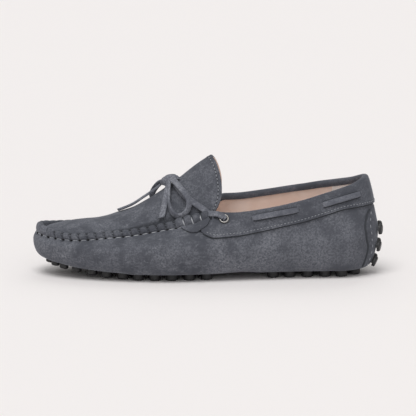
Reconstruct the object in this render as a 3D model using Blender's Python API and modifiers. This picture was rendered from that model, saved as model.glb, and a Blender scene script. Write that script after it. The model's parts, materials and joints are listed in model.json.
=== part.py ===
"""Driving moccasin, left shoe: a soft upper shaped on its last, an apron that
runs on into the tongue, a laced collar band and a sole of rubber pebbles.

The toe points to -X, the outer (lateral) side to -Y and up is +Z. The shoe
stands with its pebbles on the plane z = 0, its box centred on the Z axis.
"""
import math
from typing import NamedTuple

import bmesh
import bpy
from mathutils import Matrix, Vector

# Overall sizes of the last, all in metres
LENGTH = 0.2760           # toe tip to heel back of the upper, without the heel tab
WIDTH = 0.0990            # across the ball of the foot
COLLAR_HEIGHT = 0.0796    # top of the collar at the heel
TONGUE_HEIGHT = 0.0955    # tip of the tongue
SWELL_HEIGHT = 0.0250     # where the side wall is widest
TUCK = 0.0100             # how far the wall rolls in under the foot
TOE_SPRING = 0.0084       # rise of the leather bottom at the toe
X_TOE = -0.1396           # toe tip

# Seam of the apron, which runs on as the line under the rolled collar
SEAM_TOE = 0.0031         # seam line behind the toe tip
SEAM_HEEL = 0.0086        # collar line ahead of the heel back
INNER_RISE = 0.0049       # inner side's collar over the outer side's, ahead of its middle
INNER_RISE_RUN = 0.0120   # length over which it rises behind the throat
SEAM_LENGTH = LENGTH - SEAM_TOE - SEAM_HEEL
RIDGE = 0.0050            # height of the whipped ridge and of the rolled collar
APRON_SEAT = 0.0015       # apron surface above the seam line, inside the ridge
TONGUE_LENGTH = 0.1388    # apron and tongue from the toe seam to the throat
THROAT_X = X_TOE + SEAM_TOE + TONGUE_LENGTH   # the seam ends and the collar begins
THROAT_AT = 0.5252        # throat's share of SEAM_LENGTH in the seam table
ROLL_START_X = THROAT_X + 0.0023              # the collar's roll begins
LEAN_LENGTH = 0.0220      # over which the upright seam edge leans into the collar
TONGUE_BULGE = 0.0143     # how far the tongue's rear edge bows back, per share

# Thicknesses and clearances
WALL = 0.0020             # leather and lining of the upper
BAND = 0.0013             # collar band and heel tab leather
GAP = 0.0003              # between pieces that lie on each other
BAND_GAP = 0.0004         # the same under the band, which follows a twisted wall
ROLL_DEPTH = 0.0044       # collar band turned down inside the rim
INSOLE = 0.0020
INSOLE_MARGIN = 0.0008    # insole edge inside the roll
PAD = 0.0024              # rubber sheet that carries the pebbles
PAD_MARGIN = 0.0012       # leather kept flat between the roll and the pads
APRON_START_X = X_TOE + SEAM_TOE + 2 * WALL + GAP

# Sole pebbles
PEBBLE_HEIGHT = 0.0054    # below the leather at ball and heel
PEBBLE_ROUND = 0.0005     # taper of a pebble towards its end
PEBBLE_RADIUS = 0.0047    # at ball and heel
PEBBLE_INSET = 0.0008     # edge of the outer pebbles inside their pad
PEBBLE_SIDES = 8
HEEL_STUD_RADIUS = 0.0043
HEEL_STUD_HEIGHT = 0.0024
HEEL_STUD_Y = 0.0070
FOREFOOT_END = X_TOE + LENGTH * 0.5275   # rear end of the forefoot pad
HEEL_START = X_TOE + LENGTH * 0.6707     # front end of the heel pad

# Collar band, lace and eyelets
BAND_FRONT_X = THROAT_X - 0.0073
EYELET_X = THROAT_X + 0.0109
EYELET_HEIGHT = 0.0480
EYELET_BORE = 0.0048
EYELET_BARREL = 0.0056
EYELET_FLANGE = 0.0082
EYELET_RIM = 0.0009
LACE_WIDTH = 0.0048
LACE_THICKNESS = 0.0018
SLOT_DEPTH = 0.0033       # cut through the band for each end of a bar
LACE_RADIUS = 0.0016      # the same thong rolled where it runs free
KNOT_RADIUS = 0.0031

# Grid of the lofts
STATIONS = 32
SIDE_STEPS = 4
FLOOR_STEPS = 4
APRON_STEPS = 12
BAND_LEVELS = (1.5, 1.75, 2.0)
LACE_STEPS = 6
TAB_STEPS = 5

LATERAL = -1
MEDIAL = 1
SIDES = {"lateral": LATERAL, "medial": MEDIAL}


class LastRow(NamedTuple):
    """One station of the last, by its share of LENGTH from the toe."""
    at: float
    lateral: float    # outer fullness, share of WIDTH
    medial: float     # inner fullness, share of WIDTH
    tuck: float       # share of TUCK
    swell: float      # share of SWELL_HEIGHT


class SoleRow(NamedTuple):
    """Leather bottom and its pebbles, by share of LENGTH from the toe."""
    at: float
    spring: float     # share of TOE_SPRING
    stud: float       # share of PEBBLE_HEIGHT
    girth: float      # share of PEBBLE_RADIUS


class SeamRow(NamedTuple):
    """Apron seam and collar line, by share of SEAM_LENGTH from the toe."""
    at: float
    half: float       # fullness, share of WIDTH
    height: float     # share of COLLAR_HEIGHT
    ridge: float      # share of RIDGE


class CrestRow(NamedTuple):
    """Crest of apron and tongue, by share from its toe edge to the throat."""
    at: float
    height: float     # share of TONGUE_HEIGHT


class BandRow(NamedTuple):
    """Lower edge of the collar band, by share from the throat to the heel."""
    at: float
    height: float     # share of COLLAR_HEIGHT


class TabRow(NamedTuple):
    """Side edge of the heel tab, by share of COLLAR_HEIGHT."""
    at: float
    half: float       # share of WIDTH


class PebbleRow(NamedTuple):
    """One row of pebbles across the sole, by share between the end rows."""
    at: float
    count: int


class LaceBar(NamedTuple):
    """One stretch of lace over the collar band, between collar shares."""
    front: float
    rear: float
    front_height: float   # share of COLLAR_HEIGHT
    rear_height: float


class LaceRow(NamedTuple):
    """Place of a free lace over its own side of apron and tongue."""
    at: float         # share from the toe seam to the throat
    across: float     # from the middle, 0, to the side's edge, -1
    rise: float       # middle above the surface, in radii


LAST = [
    LastRow(0.00, .606, .606, 0.80, 1.12),
    LastRow(0.08, .577, .575, 0.85, 1.04),
    LastRow(0.15, .566, .559, 0.95, 1.00),
    LastRow(0.22, .555, .542, 1.00, 0.98),
    LastRow(0.30, .545, .518, 1.00, 0.96),
    LastRow(0.38, .536, .474, 1.00, 0.96),
    LastRow(0.46, .507, .425, 1.05, 1.00),
    LastRow(0.55, .462, .386, 1.10, 1.04),
    LastRow(0.65, .429, .371, 1.10, 1.08),
    LastRow(0.75, .425, .402, 1.05, 1.12),
    LastRow(0.85, .481, .474, 1.00, 1.20),
    LastRow(0.92, .577, .577, 0.95, 1.35),
    LastRow(1.00, .636, .636, 1.00, 1.52),
]
SOLE = [
    SoleRow(0.000, 1.050, 0.60, 0.68),
    SoleRow(0.030, 1.000, 0.62, 0.68),
    SoleRow(0.060, 0.820, 0.78, 0.72),
    SoleRow(0.093, 0.655, 0.87, 0.76),
    SoleRow(0.130, 0.452, 0.87, 0.82),
    SoleRow(0.174, 0.298, 0.90, 0.90),
    SoleRow(0.216, 0.179, 0.96, 0.97),
    SoleRow(0.263, 0.095, 0.98, 1.00),
    SoleRow(0.292, 0.000, 1.00, 1.00),
    SoleRow(0.520, 0.000, 1.00, 1.00),
    SoleRow(0.600, 0.095, 1.00, 1.00),
    SoleRow(0.670, 0.000, 1.00, 1.00),
    SoleRow(1.000, 0.000, 1.00, 1.00),
]
SEAM = [
    SeamRow(0.000, .505, .421, 1.00),
    SeamRow(0.050, .455, .398, 1.00),
    SeamRow(0.110, .442, .389, 1.00),
    SeamRow(0.160, .429, .402, 1.00),
    SeamRow(0.210, .407, .422, 1.00),
    SeamRow(0.270, .386, .441, 1.00),
    SeamRow(0.330, .359, .470, 1.00),
    SeamRow(0.390, .341, .505, 1.08),
    SeamRow(0.450, .324, .538, 1.20),
    SeamRow(0.512, .313, .586, 1.24),
    SeamRow(0.536, .313, .622, 1.00),
    SeamRow(0.600, .330, .626, 1.00),
    SeamRow(0.700, .348, .666, 1.00),
    SeamRow(0.810, .369, .742, 1.00),
    SeamRow(0.865, .379, .794, 1.00),
    SeamRow(0.920, .394, .844, 1.00),
    SeamRow(0.960, .408, .882, 1.00),
    SeamRow(1.000, .420, .942, 1.00),
]
CREST = [
    CrestRow(0.000, .366),
    CrestRow(0.031, .379),
    CrestRow(0.091, .404),
    CrestRow(0.165, .429),
    CrestRow(0.254, .454),
    CrestRow(0.322, .468),
    CrestRow(0.379, .485),
    CrestRow(0.447, .514),
    CrestRow(0.536, .549),
    CrestRow(0.607, .602),
    CrestRow(0.679, .669),
    CrestRow(0.817, .819),
    CrestRow(0.932, .937),
    CrestRow(1.000, 1.00),
]
BAND_EDGE = [
    BandRow(-0.0702, .560),
    BandRow(-0.0497, .510),
    BandRow(-0.0188, .462),
    BandRow(0.0265, .436),
    BandRow(0.1562, .445),
    BandRow(0.2961, .487),
    BandRow(0.4402, .541),
    BandRow(0.5863, .591),
    BandRow(0.7304, .657),
    BandRow(0.8374, .702),
    BandRow(0.9753, .720),
    BandRow(1.0000, .722),
]
HEEL_TAB = [
    TabRow(0.092, .195),
    TabRow(0.190, .192),
    TabRow(0.300, .186),
    TabRow(0.420, .207),
    TabRow(0.520, .212),
    TabRow(0.610, .190),
    TabRow(0.663, .165),
    TabRow(0.690, .122),
]
FOREFOOT_ROWS = [
    PebbleRow(0.0024, 2),
    PebbleRow(0.0209, 2),
    PebbleRow(0.0496, 4),
    PebbleRow(0.0912, 5),
    PebbleRow(0.1406, 5),
    PebbleRow(0.1879, 6),
    PebbleRow(0.2407, 6),
    PebbleRow(0.2902, 6),
    PebbleRow(0.3430, 6),
    PebbleRow(0.3981, 5),
    PebbleRow(0.4554, 5),
    PebbleRow(0.5105, 4),
]
HEEL_ROWS = [
    PebbleRow(0.7264, 4),
    PebbleRow(0.7803, 4),
    PebbleRow(0.8388, 4),
    PebbleRow(0.8961, 4),
    PebbleRow(0.9490, 4),
    PebbleRow(0.9922, 2),
]
HEEL_STUD_HEIGHTS = (0.0365, 0.0230, 0.0112)
LACE_BARS = [
    LaceBar(0.2447, 0.5246, .616, .704),
    LaceBar(0.6583, 0.8847, .741, .831),
]


CROSSING = [
    LaceRow(0.924, -0.885, 1.35),
    LaceRow(0.875, -0.809, 1.15),
    LaceRow(0.841, -0.719, 1.10),
    LaceRow(0.815, -0.560, 1.10),
    LaceRow(0.804, -0.370, 1.10),
]
KNOT = [
    LaceRow(0.722, 0.000, 1.25),
    LaceRow(0.760, -0.070, 1.10),
    LaceRow(0.793, -0.160, 1.10),
]
LATERAL_LOOP = [
    LaceRow(0.783, -0.290, 3.0),
    LaceRow(0.803, -0.430, 3.6),
    LaceRow(0.822, -0.590, 3.6),
    LaceRow(0.836, -0.750, 3.2),
    LaceRow(0.833, -0.870, 2.3),
    LaceRow(0.808, -0.910, 2.0),
    LaceRow(0.775, -0.869, 1.8),
    LaceRow(0.757, -0.775, 1.6),
    LaceRow(0.752, -0.641, 1.6),
    LaceRow(0.755, -0.480, 1.8),
    LaceRow(0.760, -0.300, 1.9),
]
LATERAL_END = [
    LaceRow(0.738, -0.190, 1.7),
    LaceRow(0.735, -0.360, 1.3),
    LaceRow(0.728, -0.520, 1.15),
    LaceRow(0.719, -0.680, 1.15),
    LaceRow(0.711, -0.830, 1.15),
]
MEDIAL_LOOP = [
    LaceRow(0.712, -0.140, 3.2),
    LaceRow(0.668, -0.270, 3.2),
    LaceRow(0.638, -0.450, 2.2),
    LaceRow(0.640, -0.620, 1.6),
    LaceRow(0.680, -0.740, 1.5),
    LaceRow(0.720, -0.700, 1.5),
    LaceRow(0.748, -0.540, 1.5),
    LaceRow(0.758, -0.300, 1.7),
]
MEDIAL_END = [
    LaceRow(0.691, -0.020, 2.0),
    LaceRow(0.620, -0.010, 2.0),
    LaceRow(0.540, -0.005, 1.6),
    LaceRow(0.460, 0.000, 1.15),
]
BOW = {
    "bow_knot": (KNOT, LATERAL, KNOT_RADIUS),
    "bow_loop_lateral": (LATERAL_LOOP, LATERAL, LACE_RADIUS),
    "bow_loop_medial": (MEDIAL_LOOP, MEDIAL, LACE_RADIUS),
    "bow_end_lateral": (LATERAL_END, LATERAL, LACE_RADIUS),
    "bow_end_medial": (MEDIAL_END, MEDIAL, LACE_RADIUS),
}


def table_value(rows, column, at):
    """Smooth value of a column at a share, never past its neighbours."""
    at = min(max(at, rows[0].at), rows[-1].at)
    index = 0
    while index < len(rows) - 2 and rows[index + 1].at < at:
        index += 1
    here, there = rows[index], rows[index + 1]
    step = there.at - here.at
    rise = (getattr(there, column) - getattr(here, column)) / step

    def slope(row):
        if row <= 0 or row >= len(rows) - 1:
            return rise
        before = ((getattr(rows[row], column) - getattr(rows[row - 1], column))
                  / (rows[row].at - rows[row - 1].at))
        after = ((getattr(rows[row + 1], column) - getattr(rows[row], column))
                 / (rows[row + 1].at - rows[row].at))
        if before * after <= 0:
            return 0.0
        return 2 * before * after / (before + after)

    part = (at - here.at) / step
    start, end = slope(index) * step, slope(index + 1) * step
    return (getattr(here, column) * (1 + 2 * part) * (1 - part) ** 2
            + start * part * (1 - part) ** 2
            + getattr(there, column) * part ** 2 * (3 - 2 * part)
            + end * part ** 2 * (part - 1))


def smooth(low, high, value):
    """0 below low, 1 above high and an S-curve between them."""
    part = min(max((value - low) / (high - low), 0.0), 1.0)
    return part * part * (3 - 2 * part)


def length_share(x):
    """Share of LENGTH at a position along the shoe."""
    return min(max((x - X_TOE) / LENGTH, 0.0), 1.0)


def collar_place(x):
    """Share from the throat to the heel back, less than 0 ahead of it."""
    return (x - THROAT_X) / (X_TOE + LENGTH - THROAT_X)


def collar_x(at):
    """Position along the shoe of a collar share."""
    return THROAT_X + (X_TOE + LENGTH - THROAT_X) * at


def sole_height(x):
    """Underside of the leather bottom."""
    return PEBBLE_HEIGHT + TOE_SPRING * table_value(SOLE, "spring", length_share(x))


def along(turn):
    """Share of the length at a turn from 0 at the toe to 1 at the heel."""
    return (1 - math.cos(math.pi * turn)) / 2


def turn_at(share):
    """Turn whose station lies at a share of the length."""
    return math.acos(1 - 2 * min(max(share, 0.0), 1.0)) / math.pi


def plan_curve(turn, side, start, length, fullness):
    """Point of a round-ended outline, in plan."""
    share = along(turn)
    return Vector((start + length * share,
                   side * fullness(share) * WIDTH * math.sin(math.pi * turn), 0))


def plan_normal(turn, side, start, length, fullness):
    """Outward direction of such an outline, in plan."""
    step = 1e-4
    if turn < step or turn > 1 - step:
        return Vector((-1 if turn < step else 1, 0, 0))
    tangent = (plan_curve(turn + step, side, start, length, fullness)
               - plan_curve(turn - step, side, start, length, fullness))
    return (Vector((-tangent.y, tangent.x, 0)) * side).normalized()


def last_fullness(side):
    """Fullness of the last on one side."""
    column = "lateral" if side == LATERAL else "medial"
    return lambda share: table_value(LAST, column, share)


def seam_value(column, share):
    """Value of the seam table, whose throat row keeps to the throat."""
    throat = TONGUE_LENGTH / SEAM_LENGTH
    if share < throat:
        at = share / throat * THROAT_AT
    else:
        at = THROAT_AT + (share - throat) / (1 - throat) * (1 - THROAT_AT)
    return table_value(SEAM, column, at)


def seam_fullness(share):
    """Fullness of the seam and collar line."""
    return seam_value("half", share)


def widest(turn, side):
    """Widest point of the wall and its outward direction."""
    outline = (turn, side, X_TOE, LENGTH, last_fullness(side))
    point = plan_curve(*outline)
    point.z = SWELL_HEIGHT * table_value(LAST, "swell", along(turn))
    return point, plan_normal(*outline)


def feather(turn, side, outward=0.0):
    """Line where the wall has rolled in under the foot."""
    point, normal = widest(turn, side)
    inset = TUCK * table_value(LAST, "tuck", along(turn)) - outward
    point = point - normal * inset
    point.z = sole_height(point.x)
    return point


def collar_share(x):
    """0 along the apron seam, 1 along the collar."""
    return smooth(THROAT_X, THROAT_X + LEAN_LENGTH, x)


def wall_corner(broad, seam):
    """Control point of the wall's curve from its widest point to the seam."""
    plan = 0.5 * collar_share(seam.x)
    return Vector((broad.x + plan * (seam.x - broad.x),
                   broad.y + plan * (seam.y - broad.y),
                   broad.z + 0.6 * (seam.z - broad.z)))


def inner_rise(x):
    """How far the inner side's collar stands above the outer side's."""
    front = smooth(THROAT_X, THROAT_X + INNER_RISE_RUN, x)
    return INNER_RISE * front * (1 - smooth(X_TOE + LENGTH * .70, X_TOE + LENGTH, x))


def seam_frame(turn, side):
    """Seam point, its outward direction and the direction of the ridge."""
    start = X_TOE + SEAM_TOE
    outline = (turn, side, start, SEAM_LENGTH, seam_fullness)
    point = plan_curve(*outline)
    point.z = COLLAR_HEIGHT * seam_value("height", along(turn))
    if side == MEDIAL:
        point.z += inner_rise(point.x)
    outward = plan_normal(*outline)
    wall = (point - wall_corner(widest(turn, side)[0], point)).normalized()
    rise = Vector((0, 0, 1)).lerp(wall, collar_share(point.x)).normalized()
    return point, outward, rise


def ridge_height(turn):
    """Height of the ridge or of the rolled collar over the seam line."""
    return RIDGE * seam_value("ridge", along(turn))


def skin(turn, side, level):
    """Outer face of the upper: 0 feather, 1 widest, 2 seam line, 3 rim."""
    broad, outward = widest(turn, side)
    if level <= 1:
        low = feather(turn, side)
        angle = level * math.pi / 2
        inset = TUCK * table_value(LAST, "tuck", along(turn)) * (1 - math.sin(angle))
        point = broad - outward * inset
        point.z = broad.z - (broad.z - low.z) * math.cos(angle)
        return point
    seam, _, rise = seam_frame(turn, side)
    if level <= 2:
        part = level - 1
        corner = wall_corner(broad, seam)
        return (broad * (1 - part) ** 2 + corner * 2 * part * (1 - part)
                + seam * part ** 2)
    return seam + rise * ridge_height(turn) * (level - 2)


def skin_normal(turn, side, level):
    """Outward normal of the upper's outer face, mitred at the seam line."""
    if abs(level - 2) < 1e-6:
        under, over = skin_normal(turn, side, 1.95), skin_normal(turn, side, 2.05)
        return (under + over) / (1 + under.dot(over))
    step = 1e-3
    level = min(max(level, step), 3 - step)
    low, high = max(turn - step, 0.0), min(turn + step, 1.0)
    run = skin(high, side, level) - skin(low, side, level)
    climb = skin(turn, side, level + step) - skin(turn, side, level - step)
    return (run.cross(climb) * -side).normalized()


def level_at_height(turn, side, height):
    """Level of the outer face that lies at a height."""
    low, high = 0.0, 3.0
    for _ in range(30):
        middle = (low + high) / 2
        if skin(turn, side, middle).z < height:
            low = middle
        else:
            high = middle
    return low


def turn_at_x(side, x, height):
    """Turn whose outer face lies at x at a height."""
    low, high = 0.0, 1.0
    for _ in range(30):
        middle = (low + high) / 2
        if skin(middle, side, level_at_height(middle, side, height)).x < x:
            low = middle
        else:
            high = middle
    return low


def lifted(turn, side, level, height):
    """Point a height above the outer face."""
    return skin(turn, side, level) + skin_normal(turn, side, level) * height


def top_level(turn):
    """Level of the upper's cut edge, lower where the band wraps over it."""
    wrapped = turn > seam_turn(ROLL_START_X) - 1e-6
    return 3 - (BAND + BAND_GAP) / ridge_height(turn) if wrapped else 3


def apron_point(turn, across):
    """Top face of apron and tongue, across from -1 lateral to 1 medial."""
    seam, outward, _ = seam_frame(turn, MEDIAL)
    edge = seam - outward * (2 * WALL + GAP)
    edge.z = seam.z + APRON_SEAT
    share = (edge.x - APRON_START_X) / (THROAT_X - APRON_START_X)
    crest = TONGUE_HEIGHT * table_value(CREST, "height", share)
    reach = abs(across)
    bow = TONGUE_BULGE * smooth(THROAT_X - 0.324 * TONGUE_LENGTH, THROAT_X, edge.x)
    return Vector((edge.x + bow * reach * (1 - reach ** 6),
                   edge.y * across,
                   edge.z + max(crest - edge.z, 0.0) * (1 - reach ** 1.9)))


def apron_normal(turn, across):
    """Upward unit normal of apron and tongue."""
    step = 2e-3
    if turn < step:
        return Vector((0, 0, 1))
    across = min(max(across, step - 1), 1 - step)
    run = apron_point(turn + step, across) - apron_point(turn - step, across)
    span = apron_point(turn, across + step) - apron_point(turn, across - step)
    return run.cross(span).normalized()


def apron_turn(at):
    """Turn whose apron edge lies at a share from its toe edge to the throat."""
    goal = APRON_START_X + (THROAT_X - APRON_START_X) * at
    low, high = 0.0, 0.8
    for _ in range(30):
        middle = (low + high) / 2
        seam, outward, _ = seam_frame(middle, MEDIAL)
        if (seam - outward * (2 * WALL + GAP)).x < goal:
            low = middle
        else:
            high = middle
    return low


def throat_turn():
    """Turn where the apron's edge reaches the throat."""
    return apron_turn(1.0)


def make_material(name, colour, roughness, metallic=0.0):
    """Principled material of one finish."""
    material = bpy.data.materials.new(name)
    material.use_nodes = True
    shader = material.node_tree.nodes["Principled BSDF"]
    shader.inputs["Base Color"].default_value = (*colour, 1)
    shader.inputs["Roughness"].default_value = roughness
    shader.inputs["Metallic"].default_value = metallic
    return material


def add_object(name, mesh, material, collection):
    """Object of a mesh in a collection, with its material."""
    item = bpy.data.objects.new(name, mesh)
    if material:
        mesh.materials.append(material)
    collection.objects.link(item)
    return item


def grid_mesh(name, rows, closed_ends=True):
    """Sheet through rows of points; coinciding points are merged."""
    sheet = bmesh.new()
    verts = [[sheet.verts.new(point) for point in row] for row in rows]
    for near, far in zip(verts, verts[1:]):
        for index in range(len(near) - 1):
            sheet.faces.new((near[index], far[index], far[index + 1], near[index + 1]))
    if closed_ends:
        bmesh.ops.remove_doubles(sheet, verts=sheet.verts, dist=1e-6)
    mesh = bpy.data.meshes.new(name)
    sheet.to_mesh(mesh)
    sheet.free()
    return mesh


def solidify(item, thickness, offset):
    """Give a sheet its thickness on one side."""
    shell = item.modifiers.new("Thickness", "SOLIDIFY")
    shell.thickness = thickness
    shell.offset = offset
    shell.use_even_offset = True
    shell.use_quality_normals = True
    return shell


def cut_with(item, cutter):
    """Subtract a cutter from an object."""
    cut = item.modifiers.new("Cut", "BOOLEAN")
    cut.operation = "DIFFERENCE"
    cut.solver = "EXACT"
    cut.object = cutter


def joined(name, parts, material, collection):
    """Union of meshes that meet, as one object."""
    base = add_object(name, parts[0], material, collection)
    for number, extra in enumerate(parts[1:], 1):
        other = bpy.data.objects.new(f"{name}_join_{number}", extra)
        collection.objects.link(other)
        union = base.modifiers.new("Join", "BOOLEAN")
        union.operation = "UNION"
        union.solver = "EXACT"
        union.use_self = True
        union.object = other
        bpy.context.view_layer.update()
        solid = bpy.data.meshes.new_from_object(
            base.evaluated_get(bpy.context.evaluated_depsgraph_get()))
        base.modifiers.clear()
        base.data = solid
        bpy.data.objects.remove(other)
    base.data.materials.clear()
    base.data.materials.append(material)
    return base


def stack_mesh(name, rings, sides):
    """Closed solid through rings of (height, radius) about the Z axis."""
    solid = bmesh.new()
    loops = []
    for height, radius in rings:
        loops.append([solid.verts.new((radius * math.cos(angle), radius * math.sin(angle), height))
                      for angle in (2 * math.pi * (step + 0.5) / sides
                                    for step in range(sides))])
    for low, high in zip(loops, loops[1:]):
        for step in range(sides):
            after = (step + 1) % sides
            solid.faces.new((low[step], low[after], high[after], high[step]))
    solid.faces.new(list(reversed(loops[0])))
    solid.faces.new(loops[-1])
    mesh = bpy.data.meshes.new(name)
    solid.to_mesh(mesh)
    solid.free()
    return mesh


def frame_matrix(point, normal, up):
    """Placement with Z along a normal and Y as near to up as it can be."""
    z_axis = normal.normalized()
    x_axis = up.cross(z_axis).normalized()
    y_axis = z_axis.cross(x_axis)
    turn = Matrix((x_axis, y_axis, z_axis)).transposed().to_4x4()
    return Matrix.Translation(point) @ turn


def pad_outline(x_front, x_rear, margin):
    """Outline of a sole pad between two cross lines, inside the roll."""
    runs = {}
    for side in (LATERAL, MEDIAL):
        points = [feather(step / 48, side, -margin) for step in range(49)]
        run = points[:1] if points[0].x > x_front else []
        for near, far in zip(points, points[1:]):
            for cross in (x_front, x_rear):
                if near.x < cross < far.x:
                    run.append(near.lerp(far, (cross - near.x) / (far.x - near.x)))
            if x_front < far.x < x_rear:
                run.append(far)
        runs[side] = run
    lateral, medial = runs[LATERAL], list(reversed(runs[MEDIAL]))
    outline = lateral + medial
    if (outline[0] - outline[-1]).length < 1e-6:
        outline.pop()
    tail, head = lateral[-1], medial[0]
    if (tail - head).length < 1e-6:
        outline.remove(head)
    return outline


def slab_mesh(name, outline, low, high):
    """Slab over an outline whose faces follow the leather bottom."""
    slab = bmesh.new()
    under = [slab.verts.new((p.x, p.y, sole_height(p.x) + low)) for p in outline]
    over = [slab.verts.new((p.x, p.y, sole_height(p.x) + high)) for p in outline]
    count = len(outline)
    for index in range(count):
        after = (index + 1) % count
        slab.faces.new((under[index], under[after], over[after], over[index]))
    half = count // 2
    for ring, flip in ((under, True), (over, False)):
        for index in range(half):
            near, far = index, count - 1 - index
            if far - near < 2:
                break
            corners = [ring[near], ring[near + 1], ring[far - 1], ring[far]]
            if far - 1 == near + 1:
                corners.pop(2)
            slab.faces.new(list(reversed(corners)) if flip else corners)
    bmesh.ops.recalc_face_normals(slab, faces=slab.faces)
    mesh = bpy.data.meshes.new(name)
    slab.to_mesh(mesh)
    slab.free()
    return mesh


def make_cutter(name, mesh, collection):
    """Guide object that only cuts others."""
    cutter = add_object(name, mesh, None, collection)
    cutter.hide_render = True
    cutter.display_type = "WIRE"
    return cutter


def seam_turn(x):
    """Turn whose seam point lies at x."""
    return turn_at((x - X_TOE - SEAM_TOE) / SEAM_LENGTH)


def shell_turns():
    """Turns of the sections that upper, apron and band share."""
    close = [throat_turn()]
    close += [seam_turn(ROLL_START_X + LEAN_LENGTH * step / 4) for step in range(5)]
    turns = [station / STATIONS for station in range(STATIONS + 1)]
    turns = [turn for turn in turns if min(abs(turn - other) for other in close) > 0.2 / STATIONS]
    return sorted(turns + close)


def upper_sections():
    """Sections of the upper's outer face, toe to heel, rim to rim."""
    rows = []
    for turn in shell_turns():
        levels = [top_level(turn), 2.0]
        levels += [2 - (step + 1) / SIDE_STEPS for step in range(2 * SIDE_STEPS)]
        lateral = [skin(turn, LATERAL, level) for level in levels]
        medial = [skin(turn, MEDIAL, level) for level in levels]
        across = [lateral[-1].lerp(medial[-1], step / FLOOR_STEPS)
                  for step in range(1, FLOOR_STEPS)]
        for point in across:
            point.z = sole_height(point.x)
        rows.append(lateral + across + list(reversed(medial)))
    return rows


def make_upper(material, collection, cutters):
    """Vamp, quarters and wrapped bottom as one hollow shell."""
    shell = grid_mesh("upper", upper_sections())
    shell.flip_normals()
    upper = add_object("upper", shell, material, collection)
    solidify(upper, WALL, -1)
    for cutter in cutters:
        cut_with(upper, cutter)
    return upper


def apron_contours(turn):
    """Top and bottom contour of one apron section, lateral to medial."""
    top = [apron_point(turn, -1 + 2 * step / APRON_STEPS) for step in range(APRON_STEPS + 1)]
    bottom = [point - apron_normal(turn, -1 + 2 * step / APRON_STEPS) * WALL
              for step, point in enumerate(top)]
    for side in (LATERAL, MEDIAL):
        seam, outward, rise = seam_frame(turn, side)
        steep = smooth(THROAT_X - 0.375 * TONGUE_LENGTH, THROAT_X - 0.122 * TONGUE_LENGTH,
                       seam.x)
        tip = seam + rise * ridge_height(turn)
        outer = tip - outward * (WALL + GAP)
        inner = outer - outward * WALL * (1 - 0.7 * steep)
        under = seam - outward * (WALL + GAP)
        under.z = seam.z + APRON_SEAT - WALL
        curb = [outer, inner]
        foot = [under, under.lerp(bottom[0 if side == LATERAL else -1], 0.5)]
        if side == LATERAL:
            top, bottom = curb + top, foot + bottom
        else:
            top, bottom = top + curb[::-1], bottom + foot[::-1]
    return top, bottom


def make_apron(material, collection):
    """Apron and tongue in one, its edge raised against the vamp's edge."""
    throat = throat_turn()
    sections = [apron_contours(turn) for turn in shell_turns() if turn <= throat]
    solid = bmesh.new()
    loops = [[solid.verts.new(point) for point in top + bottom[::-1]]
             for top, bottom in sections]
    count = len(loops[0])
    for near, far in zip(loops, loops[1:]):
        for index in range(count):
            after = (index + 1) % count
            solid.faces.new((near[index], far[index], far[after], near[after]))
    rear = loops[-1]
    for index in range(count // 2 - 1):
        solid.faces.new((rear[index], rear[count - 1 - index],
                         rear[count - 2 - index], rear[index + 1]))
    bmesh.ops.remove_doubles(solid, verts=solid.verts, dist=1e-6)
    bmesh.ops.recalc_face_normals(solid, faces=solid.faces)
    mesh = bpy.data.meshes.new("apron_tongue")
    solid.to_mesh(mesh)
    solid.free()
    return add_object("apron_tongue", mesh, material, collection)


def band_stations():
    """Turns of the collar band from its front ear to the heel."""
    front = turn_at_x(LATERAL, BAND_FRONT_X, COLLAR_HEIGHT * 0.53)
    roll = seam_turn(ROLL_START_X)
    ear = [front, (front + throat_turn()) / 2]
    ear += [turn for turn in shell_turns() if ear[-1] + 0.1 / STATIONS < turn < roll]
    rest = [turn for turn in shell_turns() if turn >= roll]
    return ear, rest


def band_column(turn, side, rolled):
    """Inner face of the band from its lower edge, over the rim and inside."""
    at = collar_place(X_TOE + LENGTH * along(turn))
    low = level_at_height(turn, side, COLLAR_HEIGHT * table_value(BAND_EDGE, "height", at))
    high = top_level(turn) if rolled else 1.93
    levels = [low] + [min(max(level, low), high) for level in BAND_LEVELS] + [high]
    column = [lifted(turn, side, level, BAND_GAP) for level in levels]
    if rolled:
        _, outward, rise = seam_frame(turn, side)
        edge = skin(turn, side, high)
        normal = skin_normal(turn, side, high)
        column[-1] = edge + normal * BAND_GAP + rise * BAND_GAP
        inner = edge - normal * (WALL + 2 * GAP) + rise * BAND_GAP
        column += [inner, inner - rise * ROLL_DEPTH]
    return column


def make_collar_band(material, collection, cutters):
    """Collar band, rolled over the rim from the throat back."""
    ear, rest = band_stations()
    stops = [(turn, LATERAL, False) for turn in ear] + [(turn, LATERAL, True) for turn in rest]
    stops += [(turn, MEDIAL, rolled) for turn, _, rolled in reversed(stops[:-1])]
    band = bmesh.new()
    columns = [[band.verts.new(point) for point in band_column(*stop)] for stop in stops]
    for near, far in zip(columns, columns[1:]):
        for index in range(min(len(near), len(far)) - 1):
            band.faces.new((near[index], far[index], far[index + 1], near[index + 1]))
    bmesh.ops.remove_doubles(band, verts=band.verts, dist=1e-6)
    mesh = bpy.data.meshes.new("collar_band")
    band.to_mesh(mesh)
    band.free()
    item = add_object("collar_band", mesh, material, collection)
    solidify(item, BAND, 1)
    for cutter in cutters:
        cut_with(item, cutter)
    return item


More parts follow.
